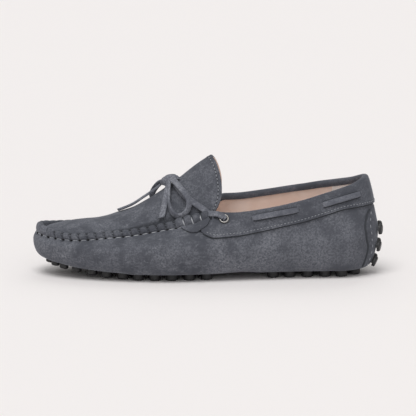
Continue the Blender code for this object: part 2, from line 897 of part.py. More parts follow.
def make_heel_tab(material, collection):
    """Heel tab over the back of the upper."""
    top = level_at_height(1.0, LATERAL, COLLAR_HEIGHT * HEEL_TAB[-1].at)
    levels = [step / SIDE_STEPS for step in range(1, 2 * SIDE_STEPS) if step / SIDE_STEPS < top]
    rows = []
    for level in levels + [top]:
        height = skin(1.0, LATERAL, level).z / COLLAR_HEIGHT
        half = table_value(HEEL_TAB, "half", height)
        line = []
        for step in range(-TAB_STEPS, TAB_STEPS + 1):
            side = LATERAL if step < 0 else MEDIAL
            reach = abs(step) / TAB_STEPS * half / table_value(LAST, "lateral", 1.0)
            line.append(lifted(1 - math.asin(reach) / math.pi, side, level, GAP))
        rows.append(line)
    tab = add_object("heel_tab", grid_mesh("heel_tab", rows), material, collection)
    solidify(tab, BAND, -1)
    return tab


def pebble_mesh(name, radius, height, base):
    """Rubber pebble: a short round post with a softened end at the top."""
    rings = [(-base, radius), (height, radius - PEBBLE_ROUND)]
    return stack_mesh(name, rings, PEBBLE_SIDES)


def pebble_places(rows):
    """Points of the leather bottom under which the pebbles stand."""
    places = []
    margin = PAD_MARGIN + GAP + PEBBLE_INSET
    ends = [feather(turn, LATERAL, -margin - PEBBLE_RADIUS * table_value(SOLE, "girth", turn)).x
            for turn in (0.0, 1.0)]
    for row in rows:
        x = ends[0] + (ends[1] - ends[0]) * row.at
        radius = PEBBLE_RADIUS * table_value(SOLE, "girth", length_share(x))
        edges = []
        for side in (LATERAL, MEDIAL):
            inset = margin + radius
            low, high = 0.0, 1.0
            for _ in range(30):
                middle = (low + high) / 2
                if feather(middle, side, -inset).x < x:
                    low = middle
                else:
                    high = middle
            edges.append(feather(low, side, -inset).y)
        for step in range(row.count):
            y = edges[0] + (edges[1] - edges[0]) * step / (row.count - 1)
            places.append((x, y, radius,
                           PEBBLE_HEIGHT * table_value(SOLE, "stud", length_share(x))))
    return places


def make_sole(name, rows, x_front, x_rear, material, collection):
    """Rubber pad with its pebbles, set into the window of the bottom."""
    outline = pad_outline(x_front + GAP, x_rear - GAP, PAD_MARGIN + GAP)
    pieces = bmesh.new()
    for x, y, radius, height in pebble_places(rows):
        mesh = pebble_mesh("pebble", radius, height, PAD / 3)
        slope = (sole_height(x + 0.001) - sole_height(x - 0.001)) / 0.002
        down = Vector((slope, 0, -1))
        mesh.transform(frame_matrix(Vector((x, y, sole_height(x))), down, Vector((0, 1, 0))))
        pieces.from_mesh(mesh)
        bpy.data.meshes.remove(mesh)
    studs = bpy.data.meshes.new(name + "_studs")
    pieces.to_mesh(studs)
    pieces.free()
    return joined(name, [slab_mesh(name, outline, 0, PAD), studs], material, collection)


def make_insole(material, collection):
    """Insole laid on the bottom inside the upper."""
    outline = pad_outline(-1, 1, INSOLE_MARGIN)
    return add_object("insole", slab_mesh("insole", outline, PAD + GAP, PAD + GAP + INSOLE),
                      material, collection)


def make_heel_studs(material, collection):
    """Rubber pebbles up the back of the heel."""
    studs = []
    for row, height in enumerate(HEEL_STUD_HEIGHTS, 1):
        for name, side in SIDES.items():
            turn = 1 - math.asin(HEEL_STUD_Y / (WIDTH * table_value(LAST, name, 1.0))) / math.pi
            level = level_at_height(turn, side, height)
            normal = skin_normal(turn, side, level)
            seat = skin(turn, side, level) + normal * (BAND + 2 * GAP)
            mesh = pebble_mesh("heel_pebble", HEEL_STUD_RADIUS, HEEL_STUD_HEIGHT, 0)
            stud = add_object(f"heel_pebble_{name}_{row}", mesh, material, collection)
            stud.matrix_world = frame_matrix(seat, normal, Vector((0, 0, 1)))
            studs.append(stud)
    return studs


def band_place(side, x, height):
    """Turn, level and outward normal of a place on the collar band."""
    turn = turn_at_x(side, x, height)
    level = level_at_height(turn, side, height)
    return turn, level, skin_normal(turn, side, level)


def band_skin(side, x, height):
    """Outer face of the upper under a place on the collar band."""
    turn = turn_at_x(side, x, height)
    return skin(turn, side, level_at_height(turn, side, height))


def lace_height(bar, x):
    """Height of a lace bar's middle line."""
    part = (collar_place(x) - bar.front) / (bar.rear - bar.front)
    return COLLAR_HEIGHT * (bar.front_height + (bar.rear_height - bar.front_height) * part)


def make_lace_bar(name, bar, side, material, collection):
    """Flat lace over the band, its two ends turned down into their slots."""
    x_front, x_rear = collar_x(bar.front), collar_x(bar.rear)
    rest = BAND_GAP + BAND + GAP
    stops = [(x_front, GAP)]
    stops += [(x_front + (x_rear - x_front) * step / LACE_STEPS, rest)
              for step in range(LACE_STEPS + 1)]
    stops += [(x_rear, GAP)]
    rows = []
    for x, lift in stops:
        height = lace_height(bar, x)
        row = []
        for edge in (-1, 0, 1):
            turn, level, normal = band_place(side, x, height + edge * LACE_WIDTH / 2)
            row.append(skin(turn, side, level) + normal * lift)
        rows.append(row)
    mesh = grid_mesh(name, rows, closed_ends=False)
    if side == MEDIAL:
        mesh.flip_normals()
    item = add_object(name, mesh, material, collection)
    solidify(item, LACE_THICKNESS, 1)
    return item


def slot_mesh():
    """Slots of the band where each lace bar goes through, as one cutter."""
    slots = bmesh.new()
    for side in (LATERAL, MEDIAL):
        for bar in LACE_BARS:
            for share, way in ((bar.front, -1), (bar.rear, 1)):
                x = collar_x(share)
                height = lace_height(bar, x)
                turn, level, normal = band_place(side, x, height)
                upward = (band_skin(side, x, height + LACE_WIDTH / 2)
                          - band_skin(side, x, height - LACE_WIDTH / 2))
                size = Matrix.Diagonal((LACE_THICKNESS + 3 * GAP, LACE_WIDTH + 4 * GAP,
                                        SLOT_DEPTH, 1))
                backward = upward.cross(normal).normalized() * -side
                middle = (skin(turn, side, level) + normal * (BAND_GAP + BAND / 2)
                          + backward * way * LACE_THICKNESS / 2)
                place = frame_matrix(middle, normal, upward)
                bmesh.ops.create_cube(slots, size=1.0, matrix=place @ size)
    mesh = bpy.data.meshes.new("lace_slots")
    slots.to_mesh(mesh)
    slots.free()
    return mesh


def eyelet_frame(side):
    """Placement of an eyelet, Z pointing out of the band and clear of its curve."""
    centre = band_skin(side, EYELET_X, EYELET_HEIGHT)
    spots = []
    for step in range(8):
        angle = step * math.pi / 4
        spots.append(band_skin(side, EYELET_X + EYELET_FLANGE / 2 * math.cos(angle),
                               EYELET_HEIGHT + EYELET_FLANGE / 2 * math.sin(angle)))
    normal = ((spots[0] - spots[4]).cross(spots[2] - spots[6]) * -side).normalized()
    lift = max((spot - centre).dot(normal) for spot in spots)
    return frame_matrix(centre + normal * (lift + GAP), normal, Vector((0, 0, 1)))


def eyelet_cutter_mesh():
    """Round holes for both eyelets, as one cutter."""
    holes = bmesh.new()
    for side in (LATERAL, MEDIAL):
        bmesh.ops.create_cone(holes, cap_ends=True, segments=16,
                              radius1=EYELET_BARREL / 2 + GAP, radius2=EYELET_BARREL / 2 + GAP,
                              depth=4 * WALL, matrix=eyelet_frame(side))
    mesh = bpy.data.meshes.new("eyelet_holes")
    holes.to_mesh(mesh)
    holes.free()
    return mesh


def make_eyelet(name, side, material, collection):
    """Turned metal eyelet through band and upper."""
    seat = BAND_GAP + BAND
    bore, barrel, flange = EYELET_BORE / 2, EYELET_BARREL / 2, EYELET_FLANGE / 2
    profile = [(bore, seat + EYELET_RIM * 0.6), (bore + 0.0003, seat + EYELET_RIM),
               (flange - 0.0005, seat + EYELET_RIM), (flange, seat + EYELET_RIM * 0.5),
               (flange, seat), (barrel, seat), (barrel, -WALL), (bore, -WALL)]
    ring = bmesh.new()
    verts = [ring.verts.new((radius, 0, height)) for radius, height in profile]
    for near, far in zip(verts, verts[1:] + verts[:1]):
        ring.edges.new((near, far))
    mesh = bpy.data.meshes.new(name)
    ring.to_mesh(mesh)
    ring.free()
    item = add_object(name, mesh, material, collection)
    spin = item.modifiers.new("Turned", "SCREW")
    spin.steps = spin.render_steps = 12
    spin.use_merge_vertices = True
    spin.merge_threshold = 0.00001
    spin.use_normal_calculate = True
    item.matrix_world = eyelet_frame(side)
    return item


def make_tube(name, points, radius, material, collection):
    """Round lace along a smooth line through its own points."""
    route = smooth_route(points, radius * 3.2)
    curve = bpy.data.curves.new(name, "CURVE")
    curve.dimensions = "3D"
    curve.bevel_depth = radius
    curve.bevel_resolution = 2
    curve.use_fill_caps = True
    line = curve.splines.new("POLY")
    line.points.add(len(route) - 1)
    for spot, point in zip(line.points, route):
        spot.co = (*point, 1)
    curve.materials.append(material)
    item = bpy.data.objects.new(name, curve)
    collection.objects.link(item)
    return item


def smooth_route(points, spacing):
    """Evenly spaced points of a smooth curve through the route's points."""
    points = [Vector(point) for point in points]
    ends = [points[0] * 2 - points[1]] + points + [points[-1] * 2 - points[-2]]
    fine = []
    for index in range(1, len(ends) - 2):
        before, here, there, after = ends[index - 1:index + 3]
        for step in range(12):
            part = step / 12
            fine.append(0.5 * (2 * here + (there - before) * part
                               + (2 * before - 5 * here + 4 * there - after) * part ** 2
                               + (3 * here - before - 3 * there + after) * part ** 3))
    fine.append(points[-1])
    total = sum((b - a).length for a, b in zip(fine, fine[1:]))
    count = max(2, round(total / spacing))
    route, walked, goal = [fine[0]], 0.0, total / count
    for near, far in zip(fine, fine[1:]):
        length = (far - near).length
        while walked + length >= goal - 1e-12 and len(route) < count:
            route.append(near.lerp(far, (goal - walked) / length))
            goal += total / count
        walked += length
    route.append(fine[-1])
    return route


def lace_point(row, side, radius):
    """Middle of a free lace over the apron."""
    turn = apron_turn(row.at)
    across = row.across * side * LATERAL
    return apron_point(turn, across) + apron_normal(turn, across) * (GAP + radius * row.rise)


def crossing_route(side):
    """Lace from inside its eyelet over the collar to the knot."""
    eyelet = eyelet_frame(side)
    lip = BAND_GAP + BAND + EYELET_RIM
    route = [eyelet @ Vector((0, 0, 0)), eyelet @ Vector((0, 0, lip + LACE_RADIUS))]
    for x, out, up in ((THROAT_X + 0.8 * LACE_WIDTH, LACE_RADIUS + BAND + 5 * GAP, GAP),
                       (THROAT_X - 0.4 * LACE_WIDTH, 0.0, LACE_RADIUS + 3 * GAP)):
        turn = seam_turn(x)
        _, outward, rise = seam_frame(turn, side)
        route.append(skin(turn, side, 3) + outward * out + rise * up)
    return route + [lace_point(row, side, LACE_RADIUS) for row in CROSSING]


def make_laces(material, collection):
    """Both crossings and the bow that they end in."""
    for name, side in SIDES.items():
        make_tube(f"lace_{name}", crossing_route(side), LACE_RADIUS, material, collection)
    for name, (rows, side, radius) in BOW.items():
        route = [lace_point(row, side, radius) for row in rows]
        make_tube(name, route, radius, material, collection)


def recentre(objects):
    """Stand the box of all pieces on the origin, bottom centre."""
    bpy.context.view_layer.update()
    graph = bpy.context.evaluated_depsgraph_get()
    low, high = Vector((1, 1, 1)), Vector((-1, -1, -1))
    for item in objects:
        if item.hide_render or item.name.startswith("bow_"):
            continue
        shape = item.evaluated_get(graph)
        mesh = shape.to_mesh()
        for vert in mesh.vertices:
            place = shape.matrix_world @ vert.co
            low = Vector(map(min, low, place))
            high = Vector(map(max, high, place))
        shape.to_mesh_clear()
    shift = Matrix.Translation((-(low.x + high.x) / 2, -(low.y + high.y) / 2, -low.z))
    for item in objects:
        item.matrix_world = shift @ item.matrix_world


def clear_scene():
    """Remove the objects that the scene starts with."""
    for item in list(bpy.data.objects):
        bpy.data.objects.remove(item)


def main():
    """Build every piece of the moccasin."""
    clear_scene()
    shoe = bpy.data.collections.new("driving_moccasin")
    guides = bpy.data.collections.new("guides")
    for collection in (shoe, guides):
        bpy.context.scene.collection.children.link(collection)
    suede = make_material("suede", (0.115, 0.125, 0.140), 0.95)
    lining = make_material("lining_leather", (0.62, 0.44, 0.34), 0.6)
    rubber = make_material("rubber", (0.013, 0.013, 0.014), 0.55)
    thong = make_material("lace_suede", (0.100, 0.108, 0.122), 0.9)
    metal = make_material("eyelet_metal", (0.12, 0.12, 0.13), 0.35, 1.0)

    windows = []
    for name, front, rear in (("forefoot_window", -1, FOREFOOT_END), ("heel_window", HEEL_START, 1)):
        mesh = slab_mesh(name, pad_outline(front, rear, PAD_MARGIN), -WALL, 2 * WALL)
        windows.append(make_cutter(name, mesh, guides))
    eyelet_holes = make_cutter("eyelet_holes", eyelet_cutter_mesh(), guides)
    lace_slots = make_cutter("lace_slots", slot_mesh(), guides)

    make_upper(suede, shoe, windows + [eyelet_holes])
    make_apron(suede, shoe)
    make_collar_band(suede, shoe, [eyelet_holes, lace_slots])
    make_heel_tab(suede, shoe)
    make_insole(lining, shoe)
    make_sole("sole_forefoot", FOREFOOT_ROWS, -1, FOREFOOT_END, rubber, shoe)
    make_sole("sole_heel", HEEL_ROWS, HEEL_START, 1, rubber, shoe)
    make_heel_studs(rubber, shoe)
    for name, side in SIDES.items():
        make_eyelet(f"eyelet_{name}", side, metal, shoe)
        for number, bar in enumerate(LACE_BARS, 1):
            make_lace_bar(f"lace_bar_{name}_{number}", bar, side, thong, shoe)
    make_laces(thong, shoe)
    recentre(list(bpy.data.objects))


main()
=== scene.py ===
"""Looks of a suede driving moccasin, left shoe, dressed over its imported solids.

The shoe's fine surfaces come from the same last as its solids: stations along
the shoe, levels up its wall. Toe towards -X, outer side -Y, up +Z, in metres.
"""
import json
import logging
import math
from dataclasses import dataclass
from enum import Enum
from functools import lru_cache, partial
from typing import Callable, NamedTuple, Optional, Sequence

import bmesh
import bpy
from mathutils import Matrix, Vector

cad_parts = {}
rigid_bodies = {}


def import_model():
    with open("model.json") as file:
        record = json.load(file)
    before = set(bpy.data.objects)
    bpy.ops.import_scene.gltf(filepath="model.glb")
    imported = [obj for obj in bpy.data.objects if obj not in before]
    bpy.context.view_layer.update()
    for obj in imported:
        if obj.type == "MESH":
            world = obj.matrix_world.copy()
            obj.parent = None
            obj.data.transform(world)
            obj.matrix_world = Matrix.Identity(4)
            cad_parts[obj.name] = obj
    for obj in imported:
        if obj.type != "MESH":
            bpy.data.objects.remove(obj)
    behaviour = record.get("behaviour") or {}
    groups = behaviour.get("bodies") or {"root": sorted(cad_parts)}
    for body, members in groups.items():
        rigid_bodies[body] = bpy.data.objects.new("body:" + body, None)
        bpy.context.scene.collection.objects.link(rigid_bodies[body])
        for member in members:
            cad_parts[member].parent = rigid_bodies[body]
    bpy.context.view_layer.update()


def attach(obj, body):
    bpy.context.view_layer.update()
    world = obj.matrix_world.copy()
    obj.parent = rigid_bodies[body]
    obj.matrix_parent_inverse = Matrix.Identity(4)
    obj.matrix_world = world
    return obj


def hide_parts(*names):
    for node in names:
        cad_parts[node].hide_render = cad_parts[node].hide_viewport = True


LOG = logging.getLogger("moccasin")
MM = 0.001
CENTRE = Vector((-0.00049, 0.00222, 0.0))   # middle line of the last in the row frame
SHARP_DEGREES = 46                  # edges sharper than this stay hard


class Side(Enum):
    """Side of the foot, with the way its Y axis runs."""
    LATERAL = -1
    MEDIAL = 1


class LastRow(NamedTuple):
    """Station of the last, by share of its length."""
    at: float
    lateral: float
    medial: float
    tuck: float
    swell: float


class SoleRow(NamedTuple):
    """Leather bottom and pebbles, by share of the length."""
    at: float
    spring: float
    stud: float
    girth: float


class SeamRow(NamedTuple):
    """Apron seam and collar line, by share of the seam's length."""
    at: float
    half: float
    height: float
    ridge: float


class Row(NamedTuple):
    """A value at a share."""
    at: float
    value: float


class LaceRow(NamedTuple):
    """Middle of a thong over its side of apron and tongue."""
    at: float
    across: float
    lift: float       # above the surface, in millimetres
    lean: float       # turn of its flat face off the surface, in degrees


LAST = [LastRow(*row) for row in (
    (0.00, .606, .606, 0.80, 1.12), (0.08, .577, .575, 0.85, 1.04),
    (0.15, .566, .559, 0.95, 1.00), (0.22, .555, .542, 1.00, 0.98),
    (0.30, .545, .518, 1.00, 0.96), (0.38, .536, .474, 1.00, 0.96),
    (0.46, .507, .425, 1.05, 1.00), (0.55, .462, .386, 1.10, 1.04),
    (0.65, .429, .371, 1.10, 1.08), (0.75, .425, .402, 1.05, 1.12),
    (0.85, .481, .474, 1.00, 1.20), (0.92, .577, .577, 0.95, 1.35),
    (1.00, .636, .636, 1.00, 1.52),
)]
SOLE = [SoleRow(*row) for row in (
    (0.000, 1.050, 0.60, 0.68), (0.030, 1.000, 0.62, 0.68), (0.060, 0.820, 0.78, 0.72),
    (0.093, 0.655, 0.87, 0.76), (0.130, 0.452, 0.87, 0.82), (0.174, 0.298, 0.90, 0.90),
    (0.216, 0.179, 0.96, 0.97), (0.263, 0.095, 0.98, 1.00), (0.292, 0.000, 1.00, 1.00),
    (0.520, 0.000, 1.00, 1.00), (0.600, 0.095, 1.00, 1.00), (0.670, 0.000, 1.00, 1.00),
    (1.000, 0.000, 1.00, 1.00),
)]
SEAM = [SeamRow(*row) for row in (
    (0.000, .505, .421, 1.00), (0.050, .455, .398, 1.00), (0.110, .442, .389, 1.00),
    (0.160, .429, .402, 1.00), (0.210, .407, .422, 1.00), (0.270, .386, .441, 1.00),
    (0.330, .359, .470, 1.00), (0.390, .341, .505, 1.08), (0.450, .324, .538, 1.20),
    (0.512, .313, .586, 1.24), (0.536, .313, .622, 1.00), (0.600, .330, .626, 1.00),
    (0.700, .348, .666, 1.00), (0.810, .369, .742, 1.00), (0.865, .379, .794, 1.00),
    (0.920, .394, .844, 1.00), (0.960, .408, .882, 1.00), (1.000, .420, .942, 1.00),
)]
CREST = [Row(*row) for row in (
    (0.000, .366), (0.031, .379), (0.091, .404), (0.165, .429), (0.254, .454), (0.322, .468),
    (0.379, .485), (0.447, .514), (0.536, .549), (0.607, .602), (0.679, .669), (0.817, .819),
    (0.932, .937), (1.000, 1.00),
)]
BAND_EDGE = [Row(*row) for row in (
    (-.0702, .560), (-.0497, .510), (-.0188, .474), (.0265, .452), (.1562, .458), (.2961, .494),
    (.4402, .541), (.5863, .591), (.7304, .657), (.8374, .702), (.9753, .720), (1.000, .722),
)]
HEEL_TAB = [Row(*row) for row in (
    (0.092, .195), (0.190, .192), (0.300, .186), (0.420, .207), (0.520, .212), (0.610, .190),
    (0.663, .165), (0.690, .122),
)]
FOREFOOT_ROWS = [Row(*row) for row in (
    (.0024, 2), (.0209, 2), (.0496, 4), (.0912, 5), (.1406, 5), (.1879, 6), (.2407, 6),
    (.2902, 6), (.3430, 6), (.3981, 5), (.4554, 5), (.5105, 4),
)]
HEEL_ROWS = [Row(*row) for row in (
    (.7264, 4), (.7803, 4), (.8388, 4), (.8961, 4), (.9490, 4), (.9922, 2),
)]
# Front and rear end of each bar on the band, by share of the collar and of its height
LACE_BARS = (((.2447, .616), (.5246, .704)), ((.6583, .741), (.8847, .831)))
# Where the ridge's extra height at the toe fades out along X
TOE_FADE = {Side.LATERAL: (-0.1330, -0.1180), Side.MEDIAL: (-0.1150, -0.0700)}
# Thong from the seam up to the knot, both sides
CROSSING = [LaceRow(*row) for row in (
    (0.9850, -0.975, 4.3, 0), (0.9218, -0.891, 3.8, 0), (0.8850, -0.824, 3.0, 0),
    (0.8586, -0.757, 2.4, 0), (0.8388, -0.693, 2.0, 0), (0.8119, -0.555, 1.8, 0),
    (0.7921, -0.344, 2.4, 0),
)]
# The bow's stretches, each from the knot on
OUTER_LOOP = [LaceRow(*row) for row in (
    (0.7760, -0.120, 4.8, 0), (0.7887, -0.243, 5.2, 8), (0.8042, -0.425, 5.4, 16),
    (0.8202, -0.563, 5.0, 24), (0.8341, -0.671, 4.6, 32), (0.8428, -0.762, 4.2, 40),
    (0.8401, -0.839, 3.8, 48), (0.8262, -0.887, 3.6, 54), (0.8032, -0.902, 3.4, 60),
    (0.7752, -0.864, 3.4, 62), (0.7571, -0.773, 3.4, 70), (0.7511, -0.645, 3.4, 76),
    (0.7557, -0.495, 3.6, 74), (0.7640, -0.314, 4.2, 56), (0.7680, -0.160, 4.4, 16),
)]
INNER_LOOP = [LaceRow(*row) for row in (
    (0.752, -0.040, 4.8, 20), (0.722, -0.150, 5.6, 50), (0.690, -0.270, 5.2, 70),
    (0.664, -0.430, 4.0, 76), (0.662, -0.600, 3.3, 76), (0.692, -0.720, 3.2, 70),
    (0.730, -0.690, 3.2, 66), (0.750, -0.540, 3.3, 60), (0.758, -0.320, 3.6, 50),
    (0.764, -0.160, 4.0, 30),
)]
OUTER_END = [LaceRow(*row) for row in (
    (0.7740, -0.080, 5.4, 0), (0.7703, -0.197, 5.0, 0), (0.7557, -0.307, 3.8, 0),
    (0.7426, -0.466, 2.9, 0), (0.7306, -0.620, 2.4, 0), (0.7204, -0.746, 2.2, 0),
    (0.7112, -0.857, 2.1, 0),
)]
INNER_END = [LaceRow(*row) for row in (
    (0.720, -0.020, 3.8, 0), (0.690, -0.015, 3.6, 0), (0.620, -0.010, 3.5, 0),
    (0.540, -0.005, 2.7, 0), (0.455, 0.000, 1.4, 0),
)]
# Depth of the small leather tab under the whipped seam end, by share of it
SEAM_TAB = [Row(*row) for row in (
    (0.00, 0.3), (0.14, 2.9), (0.30, 4.9), (0.50, 5.6), (0.70, 5.0), (0.88, 3.6), (1.00, 1.4),
)]


def hermite(rows: Sequence, column: str, at: float) -> float:
    """Smooth value of a table's column that never passes its neighbours.

    Args:
        rows: the table, in order of its shares.
        column: the field to read.
        at: the share.

    Returns:
        The value there.
    """
    at = min(max(at, rows[0].at), rows[-1].at)
    index = 0
    while index < len(rows) - 2 and rows[index + 1].at < at:
        index += 1
    here, there = rows[index], rows[index + 1]
    step = there.at - here.at
    rise = (getattr(there, column) - getattr(here, column)) / step

    def slope(row: int) -> float:
        """Harmonic mean of the slopes on both sides of a row."""
        if row <= 0 or row >= len(rows) - 1:
            return rise
        before = ((getattr(rows[row], column) - getattr(rows[row - 1], column))
                  / (rows[row].at - rows[row - 1].at))
        after = ((getattr(rows[row + 1], column) - getattr(rows[row], column))
                 / (rows[row + 1].at - rows[row].at))
        return 0.0 if before * after <= 0 else 2 * before * after / (before + after)

    part = (at - here.at) / step
    start, end = slope(index) * step, slope(index + 1) * step
    return (getattr(here, column) * (1 + 2 * part) * (1 - part) ** 2
            + start * part * (1 - part) ** 2
            + getattr(there, column) * part ** 2 * (3 - 2 * part)
            + end * part ** 2 * (part - 1))


def ramp(low: float, high: float, value: float) -> float:
    """S-curve from 0 below low to 1 above high."""
    part = min(max((value - low) / (high - low), 0.0), 1.0)
    return part * part * (3 - 2 * part)


def dip(middle: float, width: float, value: float) -> float:
    """Soft bell of height 1 at its middle."""
    return math.exp(-((value - middle) / width) ** 2)


def halfway(test: Callable[[float], bool], low: float, high: float) -> float:
    """Place where a test turns from true to false.

    Args:
        test: true on the low side.
        low: lowest place.
        high: highest place.

    Returns:
        The place, by bisection.
    """
    for _ in range(24):
        middle = (low + high) / 2
        if test(middle):
            low = middle
        else:
            high = middle
    return low


def shares(steps: int) -> list[float]:
    """Even shares from 0 to 1, both included."""
    return [step / steps for step in range(steps + 1)]


def share_at(turn: float) -> float:
    """Share of a round-ended outline's length at a turn."""
    return (1 - math.cos(math.pi * turn)) / 2


@dataclass(frozen=True)
class Last:
    """Form of the shoe; sizes are those of its solids."""
    length: float = 0.2760
    width: float = 0.0990
    collar: float = 0.0796
    tongue_height: float = 0.0955
    swell: float = 0.0250
    tuck: float = 0.0100
    spring: float = 0.0084
    toe_x: float = -0.1396
    seam_toe: float = 0.0031
    seam_length: float = 0.2643
    ridge: float = 0.0050
    seat: float = 0.0015
    throat_x: float = 0.0023
    lean_length: float = 0.0220
    tongue_length: float = 0.1388
    tongue_bulge: float = 0.0143
    wall: float = 0.0020
    gap: float = 0.0003
    pebble: float = 0.0054
    inner_rise: float = 0.0049        # inner side of the collar over the outer side
    inner_run: float = 0.0120
    toe_rise: float = 0.42            # gathered ridge over the plain one, as a share
    rear_rise: float = 0.34

    def length_share(self, x: float) -> float:
        """Share of the length at a position."""
        return min(max((x - self.toe_x) / self.length, 0.0), 1.0)

    def collar_share(self, x: float) -> float:
        """Share from the throat to the heel back."""
        return (x - self.throat_x) / (self.toe_x + self.length - self.throat_x)

    def collar_x(self, at: float) -> float:
        """Position of a collar share."""
        return self.throat_x + (self.toe_x + self.length - self.throat_x) * at

    def bottom(self, x: float) -> float:
        """Height of the leather's underside."""
        return self.pebble + self.spring * hermite(SOLE, "spring", self.length_share(x))

    def plan(self, turn: float, side: Side, start: float, run: float,
             fullness: Callable[[float], float]) -> Vector:
        """Point of a round-ended outline, in plan."""
        share = share_at(turn)
        half = fullness(share) * self.width * math.sin(math.pi * turn)
        return Vector((start + run * share, side.value * half, 0))

    def plan_normal(self, turn: float, side: Side, start: float, run: float,
                    fullness: Callable[[float], float]) -> Vector:
        """Outward direction of such an outline."""
        step = 1e-4
        if turn < step or turn > 1 - step:
            return Vector((-1 if turn < step else 1, 0, 0))
        tangent = (self.plan(turn + step, side, start, run, fullness)
                   - self.plan(turn - step, side, start, run, fullness))
        return (Vector((-tangent.y, tangent.x, 0)) * side.value).normalized()

    @lru_cache(maxsize=None)
    def widest(self, turn: float, side: Side) -> tuple[Vector, Vector]:
        """Widest point of the wall and its outward direction."""
        column = side.name.lower()
        outline = (turn, side, self.toe_x, self.length,
                   lambda share: hermite(LAST, column, share))
        point = self.plan(*outline)
        share = share_at(turn)
        point.z = self.swell * hermite(LAST, "swell", share)
        return point, self.plan_normal(*outline)

    def feather(self, turn: float, side: Side, outward: float = 0.0) -> Vector:
        """Line where the wall has rolled in under the foot."""
        point, normal = self.widest(turn, side)
        share = share_at(turn)
        point = point - normal * (self.tuck * hermite(LAST, "tuck", share) - outward)
        point.z = self.bottom(point.x)
        return point

    def corner(self, broad: Vector, seam: Vector) -> Vector:
        """Control point of the wall's curve up to the seam."""
        plan = 0.5 * ramp(self.throat_x, self.throat_x + self.lean_length, seam.x)
        return Vector((broad.x + plan * (seam.x - broad.x),
                       broad.y + plan * (seam.y - broad.y),
                       broad.z + 0.6 * (seam.z - broad.z)))

    @lru_cache(maxsize=None)
    def seam_frame(self, turn: float, side: Side) -> tuple[Vector, Vector, Vector]:
        """Seam point, its outward direction and the ridge's direction."""
        outline = (turn, side, self.toe_x + self.seam_toe, self.seam_length,
                   lambda share: hermite(SEAM, "half", share))
        point = self.plan(*outline)
        share = share_at(turn)
        point.z = self.collar * hermite(SEAM, "height", share)
        if side is Side.MEDIAL:
            point.z += (self.inner_rise
                        * ramp(self.throat_x, self.throat_x + self.inner_run, point.x)
                        * (1 - ramp(self.toe_x + 0.70 * self.length,
                                    self.toe_x + self.length, point.x)))
        outward = self.plan_normal(*outline)
        wall = (point - self.corner(self.widest(turn, side)[0], point)).normalized()
        lean = ramp(self.throat_x, self.throat_x + self.lean_length, point.x)
        return point, outward, Vector((0, 0, 1)).lerp(wall, lean).normalized()

    def ridge_height(self, turn: float) -> float:
        """Height of ridge or collar roll over the seam line."""
        return self.ridge * hermite(SEAM, "ridge", share_at(turn))

    def ridge_top(self, turn: float, side: Side) -> float:
        """Height of the gathered ridge, fuller round the toe and at its rear ends."""
        x = self.seam_frame(turn, side)[0].x
        toe = 1 - ramp(*TOE_FADE[side], x)
        rear = ramp(-0.0300, -0.0200, x)
        return self.ridge_height(turn) * (1 + self.toe_rise * toe + self.rear_rise * rear)

    def skin(self, turn: float, side: Side, level: float) -> Vector:
        """Outer face: 0 feather, 1 widest, 2 seam line, 3 rim."""
        broad, outward = self.widest(turn, side)
        if level <= 1:
            low = self.feather(turn, side)
            angle = level * math.pi / 2
            share = share_at(turn)
            inset = self.tuck * hermite(LAST, "tuck", share) * (1 - math.sin(angle))
            point = broad - outward * inset
            point.z = broad.z - (broad.z - low.z) * math.cos(angle)
            return point
        seam, _, rise = self.seam_frame(turn, side)
        if level <= 2:
            part = level - 1
            corner = self.corner(broad, seam)
            return (broad * (1 - part) ** 2 + corner * 2 * part * (1 - part)
                    + seam * part ** 2)
        return seam + rise * self.ridge_height(turn) * (level - 2)

    def over(self, turn: float, side: Side, level: float, lift: float) -> Vector:
        """Point over the outer face, or under it where the lift is below 0."""
        return self.skin(turn, side, level) + self.skin_normal(turn, side, level) * lift

    def skin_normal(self, turn: float, side: Side, level: float) -> Vector:
        """Outward normal of the outer face, mitred at the seam line."""
        if abs(level - 2) < 1e-6:
            under, over = self.skin_normal(turn, side, 1.95), self.skin_normal(turn, side, 2.05)
            return (under + over) / (1 + under.dot(over))
        step = 1e-3
        level = min(max(level, step), 3 - step)
        low, high = max(turn - step, 0.0), min(turn + step, 1.0)
        run = self.skin(high, side, level) - self.skin(low, side, level)
        climb = self.skin(turn, side, level + step) - self.skin(turn, side, level - step)
        return (run.cross(climb) * -side.value).normalized()

    def level_at(self, turn: float, side: Side, height: float) -> float:
        """Level of the outer face at a height."""
        return halfway(lambda level: self.skin(turn, side, level).z < height, 0.0, 3.0)

    def turn_at(self, side: Side, x: float, height: float) -> float:
        """Turn of the outer face at a position and height."""
        return halfway(lambda turn: self.skin(turn, side, self.level_at(turn, side, height)).x
                       < x, 0.0, 1.0)

    def seam_turn(self, x: float) -> float:
        """Turn whose seam point lies at x."""
        share = min(max((x - self.toe_x - self.seam_toe) / self.seam_length, 0.0), 1.0)
        return math.acos(1 - 2 * share) / math.pi

    def apron_point(self, turn: float, across: float) -> Vector:
        """Top face of apron and tongue, across from -1 lateral to 1 medial."""
        seam, outward, _ = self.seam_frame(turn, Side.MEDIAL)
        edge = seam - outward * (2 * self.wall + self.gap)
        edge.z = seam.z + self.seat
        start = self.toe_x + self.seam_toe + 2 * self.wall + self.gap
        crest = self.tongue_height * hermite(CREST, "value",
                                             (edge.x - start) / (self.throat_x - start))
        reach = abs(across)
        bow = self.tongue_bulge * ramp(self.throat_x - 0.324 * self.tongue_length,
                                       self.throat_x, edge.x)
        return Vector((edge.x + bow * reach * (1 - reach ** 6), edge.y * across,
                       edge.z + max(crest - edge.z, 0.0) * (1 - reach ** 1.9)))

